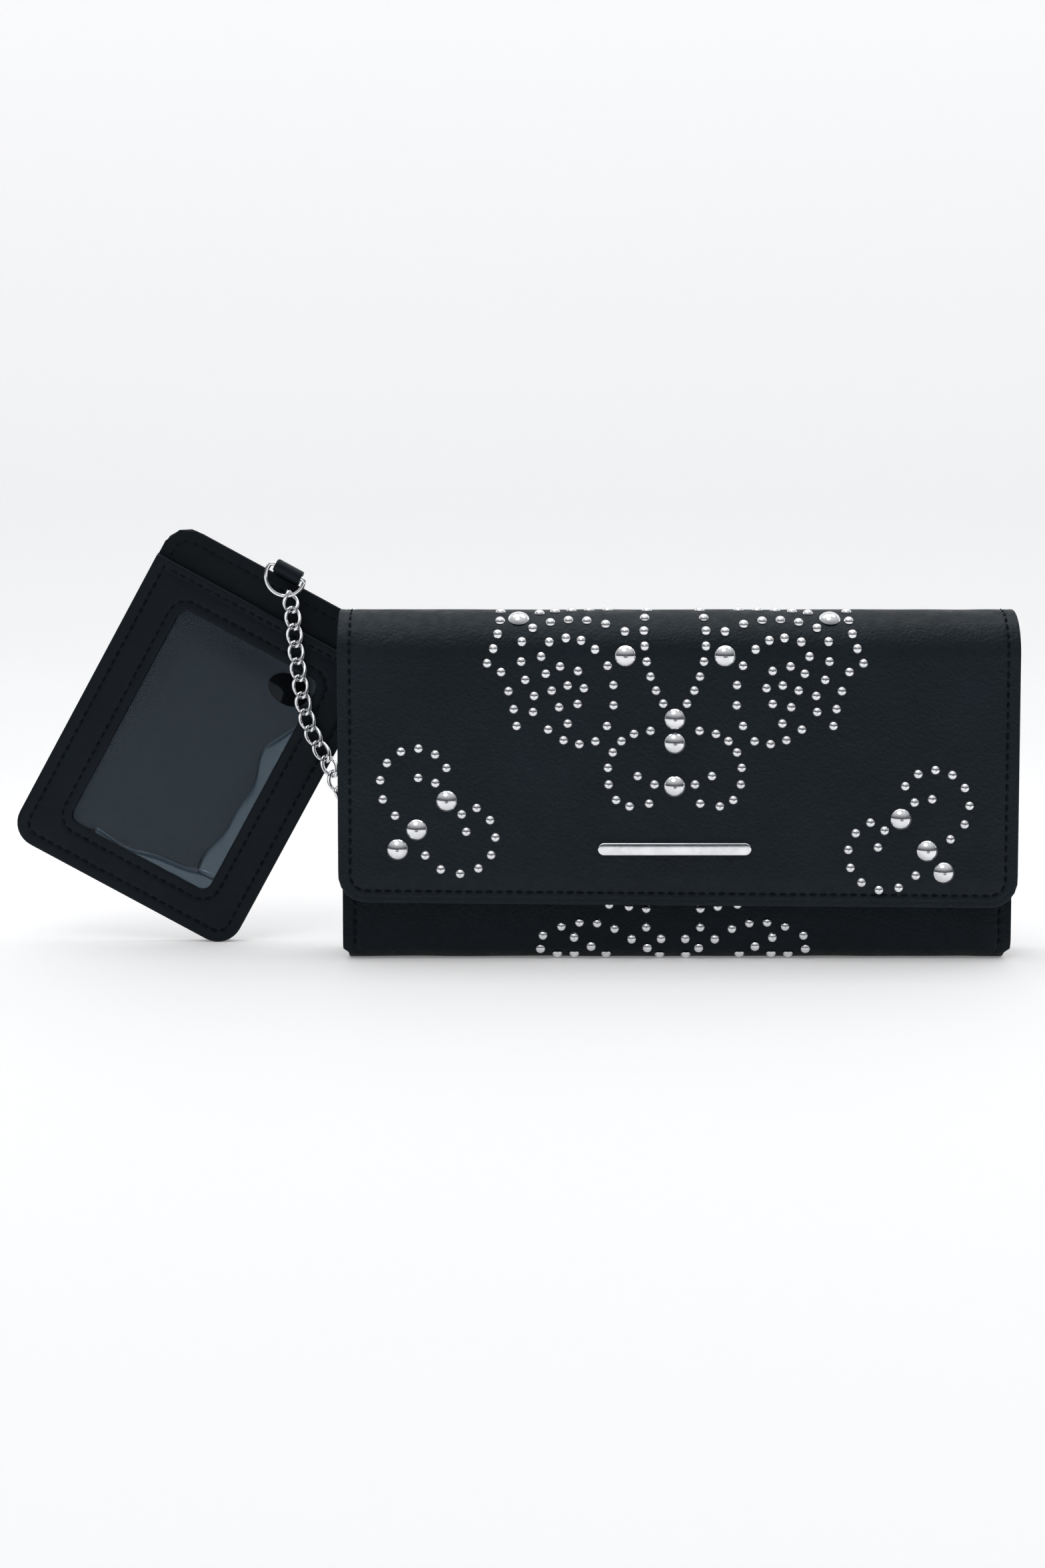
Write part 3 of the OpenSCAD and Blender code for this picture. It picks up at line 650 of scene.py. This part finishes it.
def blend_at_hinge(obj):
    """Bakes the placement of a sheet, or of the stitches on it, into its mesh."""
    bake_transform(obj)


blend_at_hinge(cover)


def sewn_lift(face, d, proud):
    """Puts stitches a little proud of a panel's face where its distance to the edge is d."""
    return lambda u, v: face(np.full(len(u), d), u, v) + proud


cover_row = cover_outline.line(STITCH_INSET, least_r=0.01)
row = stitches("cover_stitches", [cover_row], cover_place, sewn_lift(cover_top, STITCH_INSET, 0.05),
               closed=True)
blend_at_hinge(row)

# The lining behind it, from the bottom of the back compartment to the flap's edge
LINING_INSET = 0.9
lining_outline = Outline(-FLAP_HALF + LINING_INSET, FLAP_HALF - LINING_INSET, 0.5,
                         COVER.length - LINING_INSET, (1, 1, 7.3, 7.3))


def lining_top(d, u, v):
    foam = 0.65 * smoothstep(3, 6, d) * on_flap(v)
    return -(LEATHER_T + SHEET_GAP + foam)


def lining_bottom(d, u, v):
    sewn = 0.2 * dent(d, STITCH_INSET - LINING_INSET, 0.5)
    return lining_top(d, u, v) - LINING_T + sewn


flap_lining = panel("flap_and_back_lining", lining_outline, cover_place, lining_top, lining_bottom,
                    INNER_LEATHER, grid=2.2, depth=8, q=12, insets=(0.5, 1, 1.6, 2.1, 2.6, 3.1, 3.8, 5, 6.5),
                    slot="pocket_leather", replaces=("flap_lining",))
blend_at_hinge(flap_lining)
row = stitches("lining_stitches", [cover_row], cover_place,
               sewn_lift(lining_bottom, STITCH_INSET - LINING_INSET, -0.02), closed=True, side=-1)
blend_at_hinge(row)

# ---- Front panel and base --------------------------------------------------------------
FRONT = Path(((FRONT_Y, PANEL_TOP_Z), (FRONT_Y, BASE_R)), ((FRONT_Y + BASE_R, BASE_R), BASE_R, 180, 270),
             ((FRONT_Y + BASE_R, 0), (HALF_T - BASE_R, 0)), ((HALF_T - BASE_R, BASE_R), BASE_R, 270, 360),
             ((HALF_T, BASE_R), (HALF_T, SEAM_Z - 0.2)))
FRONT_L = PANEL_TOP_Z - BASE_R
QUARTER = math.pi / 2 * BASE_R
NOTCH_S = FRONT_L + QUARTER * 0.42  # where the sewn side flange ends and the base is cut in
NOTCH_DEPTH = 1.5


def body_place(u, v, h):
    base = smoothstep(NOTCH_S, NOTCH_S + 1.2, v) * (1 - smoothstep(FRONT.length - 2.4, FRONT.length - 1.4, v))
    cut = NOTCH_DEPTH * base * smoothstep(BODY_HALF - 12, BODY_HALF, np.abs(u))
    x = u * (1 - cut / BODY_HALF)
    y, z = FRONT.at(v, h)
    return x, y, z


def body_top(d, u, v):
    standing, side = 1 - smoothstep(NOTCH_S - 1, NOTCH_S + 1, v), BODY_HALF - np.abs(u)
    sewn = SEW_DEPTH * dent(side, STITCH_INSET, SEW_WIDTH) * standing
    sewn = sewn + 0.22 * dent(v, STITCH_INSET, SEW_WIDTH)
    flange = 0.25 * (1 - smoothstep(3.7, 5, side)) * standing
    wavy = np.minimum(waviness(u + 40, v, 0.4) - 0.1, 0) * smoothstep(5, 14, d)
    return -flange - sewn + wavy * 0.6


body_outline = Outline(-BODY_HALF, BODY_HALF, 0, FRONT.length, (2.5, 2.5, 0.8, 0.8))
body = panel("front_and_base_leather", body_outline, body_place, body_top, flat(-LEATHER_T), SHADED_BODY_LEATHER,
             grid=1.5, depth=7, q=10, insets=(0.9, 1.3, 1.9, 2.6, 3.0, 3.3, 3.5, 3.7, 4.0, 4.4, 5.0, 5.8),
             body="wallet", slot="body_leather", replaces=("outer_shell",))
row_u = BODY_HALF - STITCH_INSET
side_rows = [[(s * row_u, STITCH_INSET), (s * row_u, NOTCH_S - 1.5)] for s in (-1, 1)]
top_row = [[(-row_u, STITCH_INSET), (row_u, STITCH_INSET)]]
stitches("front_stitches", side_rows + top_row, body_place, sewn_lift(body_top, STITCH_INSET, 0.05), "wallet")


def front_lining_place(u, v, h):
    y, z = FRONT.at(v, h - LEATHER_T - SHEET_GAP)
    return u, y, z


panel("front_and_base_lining", Outline(-BODY_HALF + 1, BODY_HALF - 1, 0.8, FRONT.length - 0.3, 1.2),
      front_lining_place, flat(0), flat(-LINING_T), LINING, grid=3, depth=5, q=6, body="wallet",
      slot="lining_fabric", replaces=("shell_lining",))

# ---- Accordion gussets -----------------------------------------------------------------
IN_FRONT, IN_BACK = FRONT_Y + LEATHER_T + LINING_T, HALF_T - LEATHER_T - LINING_T
GUSSET_LO, GUSSET_HI = box_mm("gusset_right")
GUSSET_W, GUSSET_T = IN_BACK - IN_FRONT, 0.8
FOLDS, FOLD_SWING, FOLD_END = 3, 1.7, 0.5  # how many, how far each side, and the flat stretch at each end
for side, node in ((-1, "gusset_left"), (1, "gusset_right")):
    def gusset_place(u, v, h, side=side):
        length = GUSSET_W - 2 * FOLD_END
        t = FOLDS * FULL_TURN * np.clip((u - FOLD_END) / length, 0, 1)
        slope = -FOLD_SWING * FOLDS * FULL_TURN / length * np.sin(t)
        size = np.sqrt(1 + slope ** 2)
        x = (GUSSET_HI[0] + GUSSET_LO[0]) / 2 + FOLD_SWING * np.cos(t) + h / size
        return side * x, IN_FRONT + u - h * slope / size, v
    panel(node + "_leather", Outline(0.02, GUSSET_W - 0.02, GUSSET_LO[2], GUSSET_HI[2], 0.5), gusset_place,
          flat(GUSSET_T / 2), flat(-GUSSET_T / 2), SHADED_BODY_LEATHER, grid=0.45, depth=0.6, q=0.6,
          body="wallet", slot="body_leather", replaces=(node,))


# ---- Flat panels inside ----------------------------------------------------------------
SEWN_BELOW = 2.0  # how far below a card pocket's top edge its stitches run


def upright(node, sewn=False):
    """A flat leather panel that fills a CAD panel, with a sewn line below its top edge if asked."""
    lo, hi = box_mm(node)

    def place(u, v, h):
        return u, lo[1] - h, v

    def top(d, u, v):
        return -0.12 * sewn * dent(hi[2] - v, SEWN_BELOW, 0.4)

    panel(node + "_leather", Outline(lo[0], hi[0], lo[2], hi[2], 1.0), place, top, flat(lo[1] - hi[1]),
          INNER_LEATHER, grid=6, depth=3.2, q=4, insets=(0.6, 1.0, 1.5, 2.0, 2.5), body="wallet",
          slot="pocket_leather", replaces=(node,))
    return place, lo, hi


pockets = [upright(node, True)
           for node in ("card_panel", "card_pocket_high", "card_pocket_middle", "card_pocket_low")]
for node in ("coin_pocket_front", "coin_pocket_back"):
    upright(node)
for i, (place, lo, hi) in enumerate(pockets):
    top_v, below = hi[2] - SEWN_BELOW, pockets[i + 1][2][2] if i < 3 else lo[2] + 3
    lines = [[(lo[0] + 3, top_v), (hi[0] - 3, top_v)], [(0, top_v - 0.5), (0, below + 0.5)]]
    stitches("card_pocket_stitches_%d" % i, lines, place, level(0), "wallet", radius=0.16)

dress("coin_pocket_welt", INNER_LEATHER)
TAPE_LO, TAPE_HI = box_mm("zipper_tape")
TAPE_SLIT = 0.35
TAPE_W = TAPE_HI[1] - TAPE_SLIT
for side, y0 in (("front", TAPE_LO[1]), ("back", TAPE_SLIT)):
    panel("zipper_tape_" + side, Outline(TAPE_LO[0], TAPE_HI[0], y0, y0 + TAPE_W, 0.4),
          lambda u, v, h: (u, v, TAPE_HI[2] + h), flat(0), flat(TAPE_LO[2] - TAPE_HI[2]), TAPE, grid=3,
          depth=0.7, q=0.3, body="wallet", slot="zipper_fabric", replaces=("zipper_tape",))
dress("zipper_teeth", ZIPPER)
for node in ("zipper_slider", "zipper_pull"):
    rounded_copy(node, node + "_rounded", 0.15, ZIPPER, node)

# ---- Metal trim ------------------------------------------------------------------------
for node in ("flap_small_studs", "flap_large_studs", "front_studs"):
    dress(node, STUDS)
for node in ("snap_socket", "snap_stud", "snap_socket_washer", "snap_stud_washer"):
    dress(node, SNAP)
rounded_copy("nameplate", "nameplate_rounded", 0.35, STUDS, "flap")
dress("wallet_d_ring", CHAIN)
dress("card_d_ring", CHAIN)

# ---- Chain -----------------------------------------------------------------------------
LINKS = 16
LINK_A, LINK_B, LINK_PITCH, LINK_R = 3.3, 2.0, 5.1, 0.6  # half length, half width, pitch, wire's radius
LINK_TURN, END_TURN = 50, 100  # degrees that a link's end is turned: between links, and at a D-ring
LINK_STEPS = 56
pivots = [np.array(joint("link_%02d_bend" % i)["pos_m"]) / MM for i in range(2, LINKS + 1)]


def bow(t, start, end):
    """Centre line of a curb link along Z: an oval whose ends are turned out of its plane."""
    x = LINK_B * np.sign(np.cos(t)) * np.abs(np.cos(t)) ** 0.7
    turn = np.radians((start + end) * (1 + np.sin(t)) / 2 - start)
    return np.stack([x * np.cos(turn), x * np.sin(turn), LINK_A * np.sin(t)], 1)


ring_hub = np.array(joint("link_01_slide_round")["pos_m"]) / MM
card_hub = np.array(joint("card_ring_slide_round")["pos_m"]) / MM
for i in range(1, LINKS + 1):
    near = pivots[i - 2] if i > 1 else None
    far = pivots[i - 1] if i < LINKS else None
    if near is None:
        near = far + (ring_hub - far) / np.linalg.norm(ring_hub - far) * LINK_PITCH
    if far is None:
        far = near + (card_hub - near) / np.linalg.norm(card_hub - near) * LINK_PITCH
    up = (far - near) / np.linalg.norm(far - near)
    middle = (near + far) / 2
    aside = np.array([up[2], 0, -up[0]])
    local = bow((np.arange(LINK_STEPS) + 0.5) / LINK_STEPS * FULL_TURN, END_TURN if i == 1 else LINK_TURN,
                END_TURN if i == LINKS else LINK_TURN)
    wire = middle + local[:, :1] * aside + local[:, 1:2] * np.array([0, 1, 0]) + local[:, 2:] * up
    name = "chain_link_%02d" % i
    tube(name + "_wire", wire, LINK_R, CHAIN, body="link_%02d" % i, slot="chain_metal", replaces=(name,))


# ---- Straps over the D-rings' bars -----------------------------------------------------
def strap(name, line, width, thick, at, body, slot, node, material):
    """A strap along a line in a plane: at(a, b, c) puts a point at (a, b) in that plane and c across it."""
    path = Path(*[(line[i], line[i + 1]) for i in range(len(line) - 1)])
    outline = Outline(-width / 2, width / 2, 0, path.length, 0.8)

    def place(u, v, h):
        a, b = path.at(v, h)
        return at(a, b, u)

    panel(name, outline, place, flat(thick / 2), flat(-thick / 2), material, grid=0.6, depth=1.6, q=1.6,
          insets=(0.7, 1.1), body=body, slot=slot, replaces=(node,))


def arc(centre, r, a0, a1, count=12):
    angles = np.radians(np.linspace(a0, a1, count))
    return [(centre[0] + r * math.cos(t), centre[1] + r * math.sin(t)) for t in angles]


tab_lo, tab_hi = box_mm("chain_tab")
bar = np.array(joint("wallet_ring_swing")["pos_m"]) / MM
tab_mid_z = (tab_lo[2] + tab_hi[2]) / 2
TAB_R, TAB_T = 1.45, 0.95  # the straps' bend round a bar, to the middle of the leather, and its thickness
CARD_TAB_W, CARD_TAB_T = 8.6, 0.9
tab_line = ([(tab_hi[0] - 0.6, HALF_T + 0.55), (bar[0] + 3.5, HALF_T + 0.55)]
            + arc((bar[0], bar[1]), TAB_R, -62, -298, 22)
            + [(bar[0] + 3.5, HALF_T + 1.65), (tab_hi[0] - 0.2, HALF_T + 1.65)])
strap("chain_tab_strap", tab_line, tab_hi[2] - tab_lo[2], TAB_T, lambda a, b, c: (a, b, tab_mid_z + c),
      "wallet", "body_leather", "chain_tab", SHADED_BODY_LEATHER)
box_x0, box_x1, box_half = bar[0] + 5, tab_hi[0] - 1.8, 2.6
tab_box = [(box_x0, -box_half), (box_x1, -box_half), (box_x1, box_half), (box_x0, box_half)]
stitches("chain_tab_stitches", [tab_box], lambda u, v, h: (u, HALF_T + 2.1 + h, tab_mid_z + v), level(0),
         "wallet", closed=True, radius=0.22)

# ---- Card holder -----------------------------------------------------------------------
CARD_W, CARD_H, CARD_R = 74.5, 106.5, 7.5
WINDOW_W, WINDOW_H, WINDOW_R, WINDOW_DROP = 46.5, 72.0, 3.0, 4.8
WINDOW_SEAM, MOUTH_SEAM = 3.0, 2.5  # how far the seams lie from the edges they follow
SLOT_DROP = 11.2  # how far the pocket's mouth lies below the holder's top edge
swing_axis = np.array(joint("card_holder_swing")["axis"])
BACK_LO, BACK_HI = box_mm("card_back")
CARD_MID = np.array([(BACK_LO[0] + BACK_HI[0]) / 2, 0, (BACK_LO[2] + BACK_HI[2]) / 2])
CARD_U = swing_axis / np.linalg.norm(swing_axis)
CARD_V = np.array([-CARD_U[2], 0, CARD_U[0]])


def card_place(y):
    """Puts a point of the holder's own plane in place; h is towards the front."""
    def place(u, v, h):
        return CARD_MID[0] + u * CARD_U[0] + v * CARD_V[0], y - h, CARD_MID[2] + u * CARD_U[2] + v * CARD_V[2]
    return place


def y_range(node):
    lo, hi = box_mm(node)
    return lo[1], hi[1]


def card_wave(u, v, size):
    return np.minimum(waviness(u * 1.4, v * 1.4 + 31, size) - 0.05, 0)


whole = Outline(-CARD_W / 2, CARD_W / 2, -CARD_H / 2, CARD_H / 2, CARD_R)
CARD_RINGS = (0.8, 1.1, 1.6, 2.2, 2.8, 3.2, 3.5, 3.8, 4.2, 5.0, 6.2)
back_y0, back_y1 = y_range("card_back")
div_y0, div_y1 = y_range("card_divider")
front_y0, front_y1 = y_range("card_front")
front_place = card_place(front_y0)


def sewn_back(d, u, v):
    return -0.25 * dent(d, STITCH_INSET, 0.5) + card_wave(u, v, 0.25) * smoothstep(4, 12, d)


panel("card_back_leather", whole, lambda u, v, h: card_place(back_y0)(u, v, -h), lambda d, u, v:
      back_y1 - back_y0 + sewn_back(d, u, v), flat(0), CARD_LEATHER, grid=2, depth=8, q=8,
      insets=CARD_RINGS, body="card_holder", slot="card_leather", replaces=("card_back",))
panel("card_divider_leather", whole, card_place(div_y0), lambda d, u, v:
      -0.15 * dent(d, STITCH_INSET, 0.5), flat(div_y0 - div_y1), CARD_LINING, grid=3, depth=8, q=8,
      insets=CARD_RINGS, body="card_holder", slot="card_lining", replaces=("card_divider",))
stitches("card_back_stitches", [whole.line(STITCH_INSET)], lambda u, v, h: card_place(back_y1)(u, v, -h),
         level(-0.2), "card_holder", closed=True)

mouth = CARD_H / 2 - SLOT_DROP
pocket = Outline(-CARD_W / 2, CARD_W / 2, -CARD_H / 2, mouth, (CARD_R, CARD_R, 0.8, 0.8))
WINDOW_LO_V, WINDOW_HI_V = -WINDOW_H / 2 - WINDOW_DROP, WINDOW_H / 2 - WINDOW_DROP
window = Outline(-WINDOW_W / 2, WINDOW_W / 2, WINDOW_LO_V, WINDOW_HI_V, WINDOW_R)
PER_SIDE, PER_CORNER = (26, 40), 8
FAR = 99.0  # a distance at which no seam shows


def window_panel(name, place, thick, material, **kw):
    """The front sheet: rings from its outer edge to the window's edge, on both faces."""
    half = thick / 2
    rounding = [half * (1 - math.cos(t)) for t in EDGE_ROUND]
    outer = rounding + [0.9, 1.4, 2.0, 2.6, 3.1, 3.5, 3.9, 4.4, 5.2]
    inner = [4.6, 3.8, 3.4, 3.0, 2.6, 2.2, 1.5, 0.9] + rounding[::-1]
    rings = [(pocket.line(d, PER_SIDE, PER_CORNER), d, FAR) for d in outer]
    rings += [(window.line(-d, PER_SIDE, PER_CORNER), FAR, d) for d in inner]
    count = len(rings[0][0])
    up, down = [], []
    for line, d, e in rings:
        near = min(d, e)
        k = math.sqrt(max(0.0, 1 - (1 - min(near / half, 1)) ** 2))
        sewn = -0.25 * dent(d, STITCH_INSET, 0.5) - 0.22 * dent(e, WINDOW_SEAM, 0.5)
        sewn = sewn - 0.2 * dent(mouth - line[:, 1], MOUTH_SEAM, 0.45) * (near > 0.6)
        wavy = card_wave(line[:, 0], line[:, 1], 0.2) * min(near / 3, 1)
        up.append(np.stack(place(line[:, 0], line[:, 1], -half + (half + sewn + wavy) * k), 1))
        down.append(np.stack(place(line[:, 0], line[:, 1], -half - half * k + 0 * line[:, 0]), 1))
    loops = up + down[::-1]
    points = np.concatenate(loops)
    n = len(loops)
    faces = [(a * count + i, a * count + (i + 1) % count, (a + 1) % n * count + (i + 1) % count,
              (a + 1) % n * count + i) for a in range(n) for i in range(count)]
    return make(name, points, faces, material, weld=0.01, **kw)


window_panel("card_front_leather", front_place, front_y1 - front_y0, CARD_LEATHER,
             body="card_holder", slot="card_leather", replaces=("card_front",))
edge_u = CARD_W / 2 - STITCH_INSET


def end_row(outline, keep, start_v):
    """Along one long side of an outline, round the two corners that keep picks, and back along the other."""
    line = outline.line(STITCH_INSET, (4, 4), PER_CORNER)
    corners = sorted((p for p in line if keep(p[1])), key=lambda p: p[0])
    return np.array([(-edge_u, start_v)] + corners + [(edge_u, start_v)])


pocket_row = end_row(pocket, lambda v: v < -CARD_H / 2 + CARD_R, mouth - 1.5)
stitches("card_outer_stitches", [pocket_row], front_place, level(-0.2), "card_holder")
stitches("card_window_stitches", [window.line(-WINDOW_SEAM)], front_place, level(-0.2), "card_holder",
         closed=True)
mouth_u, mouth_v = CARD_W / 2 - 5.5, mouth - MOUTH_SEAM
stitches("card_mouth_stitches", [[(-mouth_u, mouth_v), (mouth_u, mouth_v)]], front_place, level(-0.2),
         "card_holder")
top_row = end_row(whole, lambda v: v > CARD_H / 2 - CARD_R, mouth + 0.8)
stitches("card_top_stitches", [top_row], card_place(div_y0), level(-0.2), "card_holder")

film_y0 = y_range("card_film")[0]
FILM_T, FILM_REACH = 0.25, 2.9  # thickness, and how far the film runs under the window's edge
film_outline = Outline(-WINDOW_W / 2 - FILM_REACH, WINDOW_W / 2 + FILM_REACH, WINDOW_LO_V - FILM_REACH,
                       WINDOW_HI_V + FILM_REACH, 3)


def film_shape(d, u, v):
    """A slack film: a broad belly, with a ripple near its right edge."""
    free = smoothstep(3, 11, d)
    ripple = 0.35 * dent(u, 17.5 + 2.5 * np.sin(v / 9.0), 2.2)
    low = 0.3 * dent(v, -32, 5) * smoothstep(-4, 18, u)
    return free * (0.25 + 0.12 * np.sin(v / 11.0) - ripple - low)


panel("card_film_sheet", film_outline, card_place(film_y0), film_shape,
      lambda d, u, v: film_shape(d, u, v) - FILM_T, FILM, grid=1.5, depth=5, q=5, insets=(0.5, 2, 3, 4),
      body="card_holder", slot="clear_film", replaces=("card_film",))
dress("card_welt", CARD_LINING)


def film_fold(name, line_a, line_b, bulge):
    """A glossier strip of the film between two lines in the holder's plane, bulged between them."""
    across, thick, place = 6, 0.1, card_place(film_y0 - 0.03)
    a, b = np.stack(line_a, 1), np.stack(line_b, 1)
    t = np.linspace(0, 1, across + 1)
    top = [np.stack(place(*(a + (b - a) * k).T, bulge * math.sin(math.pi * k) + 0 * a[:, 0]), 1) for k in t]
    low = [p + np.array([0, thick, 0]) for p in top]
    n, loops = len(a), top + low[::-1]
    rows = range(len(loops))
    faces = [(r * n + i, r * n + i + 1, (r + 1) % len(loops) * n + i + 1, (r + 1) % len(loops) * n + i)
             for r in rows for i in range(n - 1)]
    faces += [tuple(r * n for r in rows), tuple(r * n + n - 1 for r in reversed(rows))]
    make(name, np.concatenate(loops), faces, FILM_EDGE, "card_holder", "clear_film")


FOLD_U, FOLD_V = WINDOW_W / 2 + 1.5, WINDOW_LO_V - 1.5  # where the folds end, under the window's edge
side_v = np.linspace(WINDOW_HI_V - 11, WINDOW_LO_V + 4, 40)
side_width = 6 + 1.3 * np.sin(side_v / 7.0) + 0.6 * np.sin(side_v / 2.9)
side_in = FOLD_U - side_width * smoothstep(-2, 16, side_v[0] - side_v)
film_fold("card_film_side_fold", (side_in, side_v), (0 * side_v + FOLD_U, side_v), bulge=0.25)
low_u = np.linspace(-WINDOW_W / 2 + 8, FOLD_U, 30)
low_in = WINDOW_LO_V + 1.2 + 4.6 * smoothstep(-6, WINDOW_W / 2, low_u) + 0.5 * np.sin(low_u / 3.1)
film_fold("card_film_low_fold", (low_u, low_in), (low_u, 0 * low_u + FOLD_V), bulge=0.3)


def thumb_notch_painted_shade(centre, a, b, y, thick):
    """Painted shade for the oval thumb cut-out: a thin near-black plate with a rounded rim, in the holder's
    plane, where the cut-out shows the shaded inside.
    """
    count, place = 40, card_place(y)
    t = np.arange(count) / count * FULL_TURN
    rims = [(1.0, 0.0), (0.995, 0.5), (0.97, 0.85), (0.9, 1.0), (0.5, 1.0)]  # share of size and thickness
    points = []
    for k, h in rims:
        u, v = centre[0] + a * k * np.cos(t), centre[1] + b * k * np.sin(t)
        points.append(np.stack(place(u, v, h * thick + 0 * u), 1))
    faces = [(r * count + i, r * count + (i + 1) % count, (r + 1) * count + (i + 1) % count,
              (r + 1) * count + i) for r in range(len(rims) - 1) for i in range(count)]
    faces += [tuple((len(rims) - 1) * count + i for i in range(count)), tuple(reversed(range(count)))]
    make("thumb_notch_painted_shade", np.concatenate(points), faces, NOTCH_SHADE_LEATHER, "card_holder", "card_lining")


thumb_notch_painted_shade((WINDOW_W / 2 - 7.2, WINDOW_HI_V - 6.5), a=6.4, b=4.6, y=film_y0 - 0.22, thick=0.1)

# The strap comes up between divider and back, bends forward over the bar and is sewn back on itself
card_bar = np.array(joint("card_holder_swing")["pos_m"]) / MM
bar_u, bar_v = (card_bar - CARD_MID) @ CARD_U, (card_bar - CARD_MID) @ CARD_V
strap_y, edge_v, bend_v = (div_y1 + back_y0) / 2, CARD_H / 2, CARD_H / 2 + 0.6
bend_r = bar_v + TAB_R - bend_v
card_tab_line = ([(strap_y, edge_v - 7.4), (strap_y, bend_v - 0.4)]
                 + arc((strap_y - bend_r, bend_v), bend_r, 0, 90)
                 + arc((card_bar[1], bar_v), TAB_R, 90, 270, 16)
                 + [(card_bar[1] + 2, bar_v - TAB_R), (strap_y - 0.8, bar_v - TAB_R)])


def card_tab_at(a, b, c):
    u = bar_u + c
    return CARD_MID[0] + u * CARD_U[0] + b * CARD_V[0], a + 0 * u, CARD_MID[2] + u * CARD_U[2] + b * CARD_V[2]


strap("card_tab_strap", card_tab_line, CARD_TAB_W, CARD_TAB_T, card_tab_at, "card_holder",
      "card_leather", "card_tab", CARD_LEATHER)


# ---- Floor, backdrop and light ---------------------------------------------------------
STAGE_SPAN = 2500  # the backdrop's own glow grows over this far back and up
STAGE_GLOW = [(0.0, grey(0.175)), (0.3, grey(0.205)), (0.55, grey(0.24)), (0.82, grey(0.4))]


def add_stage():
    """A pale floor that curves up into a pale wall. It glows more the further back and higher up it is:
    painted light for the backdrop's brightness.
    """
    reach, bend_y, bend_r, wall_top = 9000, 900, 600, 3200
    profile = [(-reach, 0)] + [(y, 0) for y in (-600, -200, 0, 200, 500, bend_y)]
    profile += [(bend_y + bend_r * math.sin(t), bend_r - bend_r * math.cos(t))
                for t in np.radians(np.linspace(6, 90, 15))]
    profile += [(bend_y + bend_r, 1500), (bend_y + bend_r, wall_top)]
    points = [(x, y, z) for y, z in profile for x in (-reach, reach)]
    faces = [(2 * i, 2 * i + 1, 2 * i + 3, 2 * i + 2) for i in range(len(profile) - 1)]
    n = Nodes("studio_floor")
    n.set(Base_Color=(0.84, 0.84, 0.845, 1), Roughness=0.7, Specular_IOR_Level=0.2, Emission_Strength=1.0)
    place = n.add("ShaderNodeSeparateXYZ")
    n.link(n.mapped(STAGE_SPAN), "Vector", place, "Vector")
    back = n.math("ADD", (place, "Y"), (place, "Z"))
    # Painted light: the floor and wall glow, more the further back and higher up they are.
    n.tint(back, "Value", STAGE_GLOW, "Emission Color")
    make("studio_floor", points, faces, n.material)


def light(name, kind, energy, way):
    """A light of a kind that shines along way. Gives the light's object."""
    data = bpy.data.lights.new(name, kind)
    data.energy = energy
    obj = bpy.data.objects.new(name, data)
    bpy.context.scene.collection.objects.link(obj)
    obj.rotation_euler = way.to_track_quat("-Z", "Y").to_euler()
    return obj


def area_light(name, at, to, size, watts):
    obj = light(name, "AREA", watts, Vector(to) - Vector(at))
    obj.data.shape = "RECTANGLE"
    obj.data.size, obj.data.size_y = size[0] * MM, size[1] * MM
    obj.location = Vector(at) * MM


def sun(name, elevation, heading, width, strength):
    """A broad, far light. Heading is measured from the front towards the right."""
    e, a = math.radians(elevation), math.radians(heading)
    way = Vector((-math.cos(e) * math.sin(a), math.cos(e) * math.cos(a), -math.sin(e)))
    light(name, "SUN", strength, way).data.angle = math.radians(width)


def add_world():
    """Bright overhead, dim round the horizon, like a studio with a soft box above."""
    world = bpy.data.worlds.new("studio")
    bpy.context.scene.world = world
    world.use_nodes = True
    tree = world.node_tree
    coord = tree.nodes.new("ShaderNodeTexCoord")
    split = tree.nodes.new("ShaderNodeSeparateXYZ")
    ramp = tree.nodes.new("ShaderNodeValToRGB")
    stops = ramp.color_ramp.elements
    stops[0].position, stops[0].color = 0.15, (0.08, 0.085, 0.095, 1)
    stops[1].position, stops[1].color = 0.75, (0.72, 0.725, 0.73, 1)
    tree.links.new(coord.outputs["Generated"], split.inputs[0])
    tree.links.new(split.outputs["Z"], ramp.inputs["Fac"])
    tree.links.new(ramp.outputs["Color"], tree.nodes["Background"].inputs["Color"])


add_stage()
add_world()
sun("key", elevation=58, heading=-18, width=30, strength=0.42)
area_light("top", at=(0, 40, 600), to=(0, 0, 60), size=(800, 260), watts=1.25)
bpy.context.scene.view_settings.view_transform = "Standard"
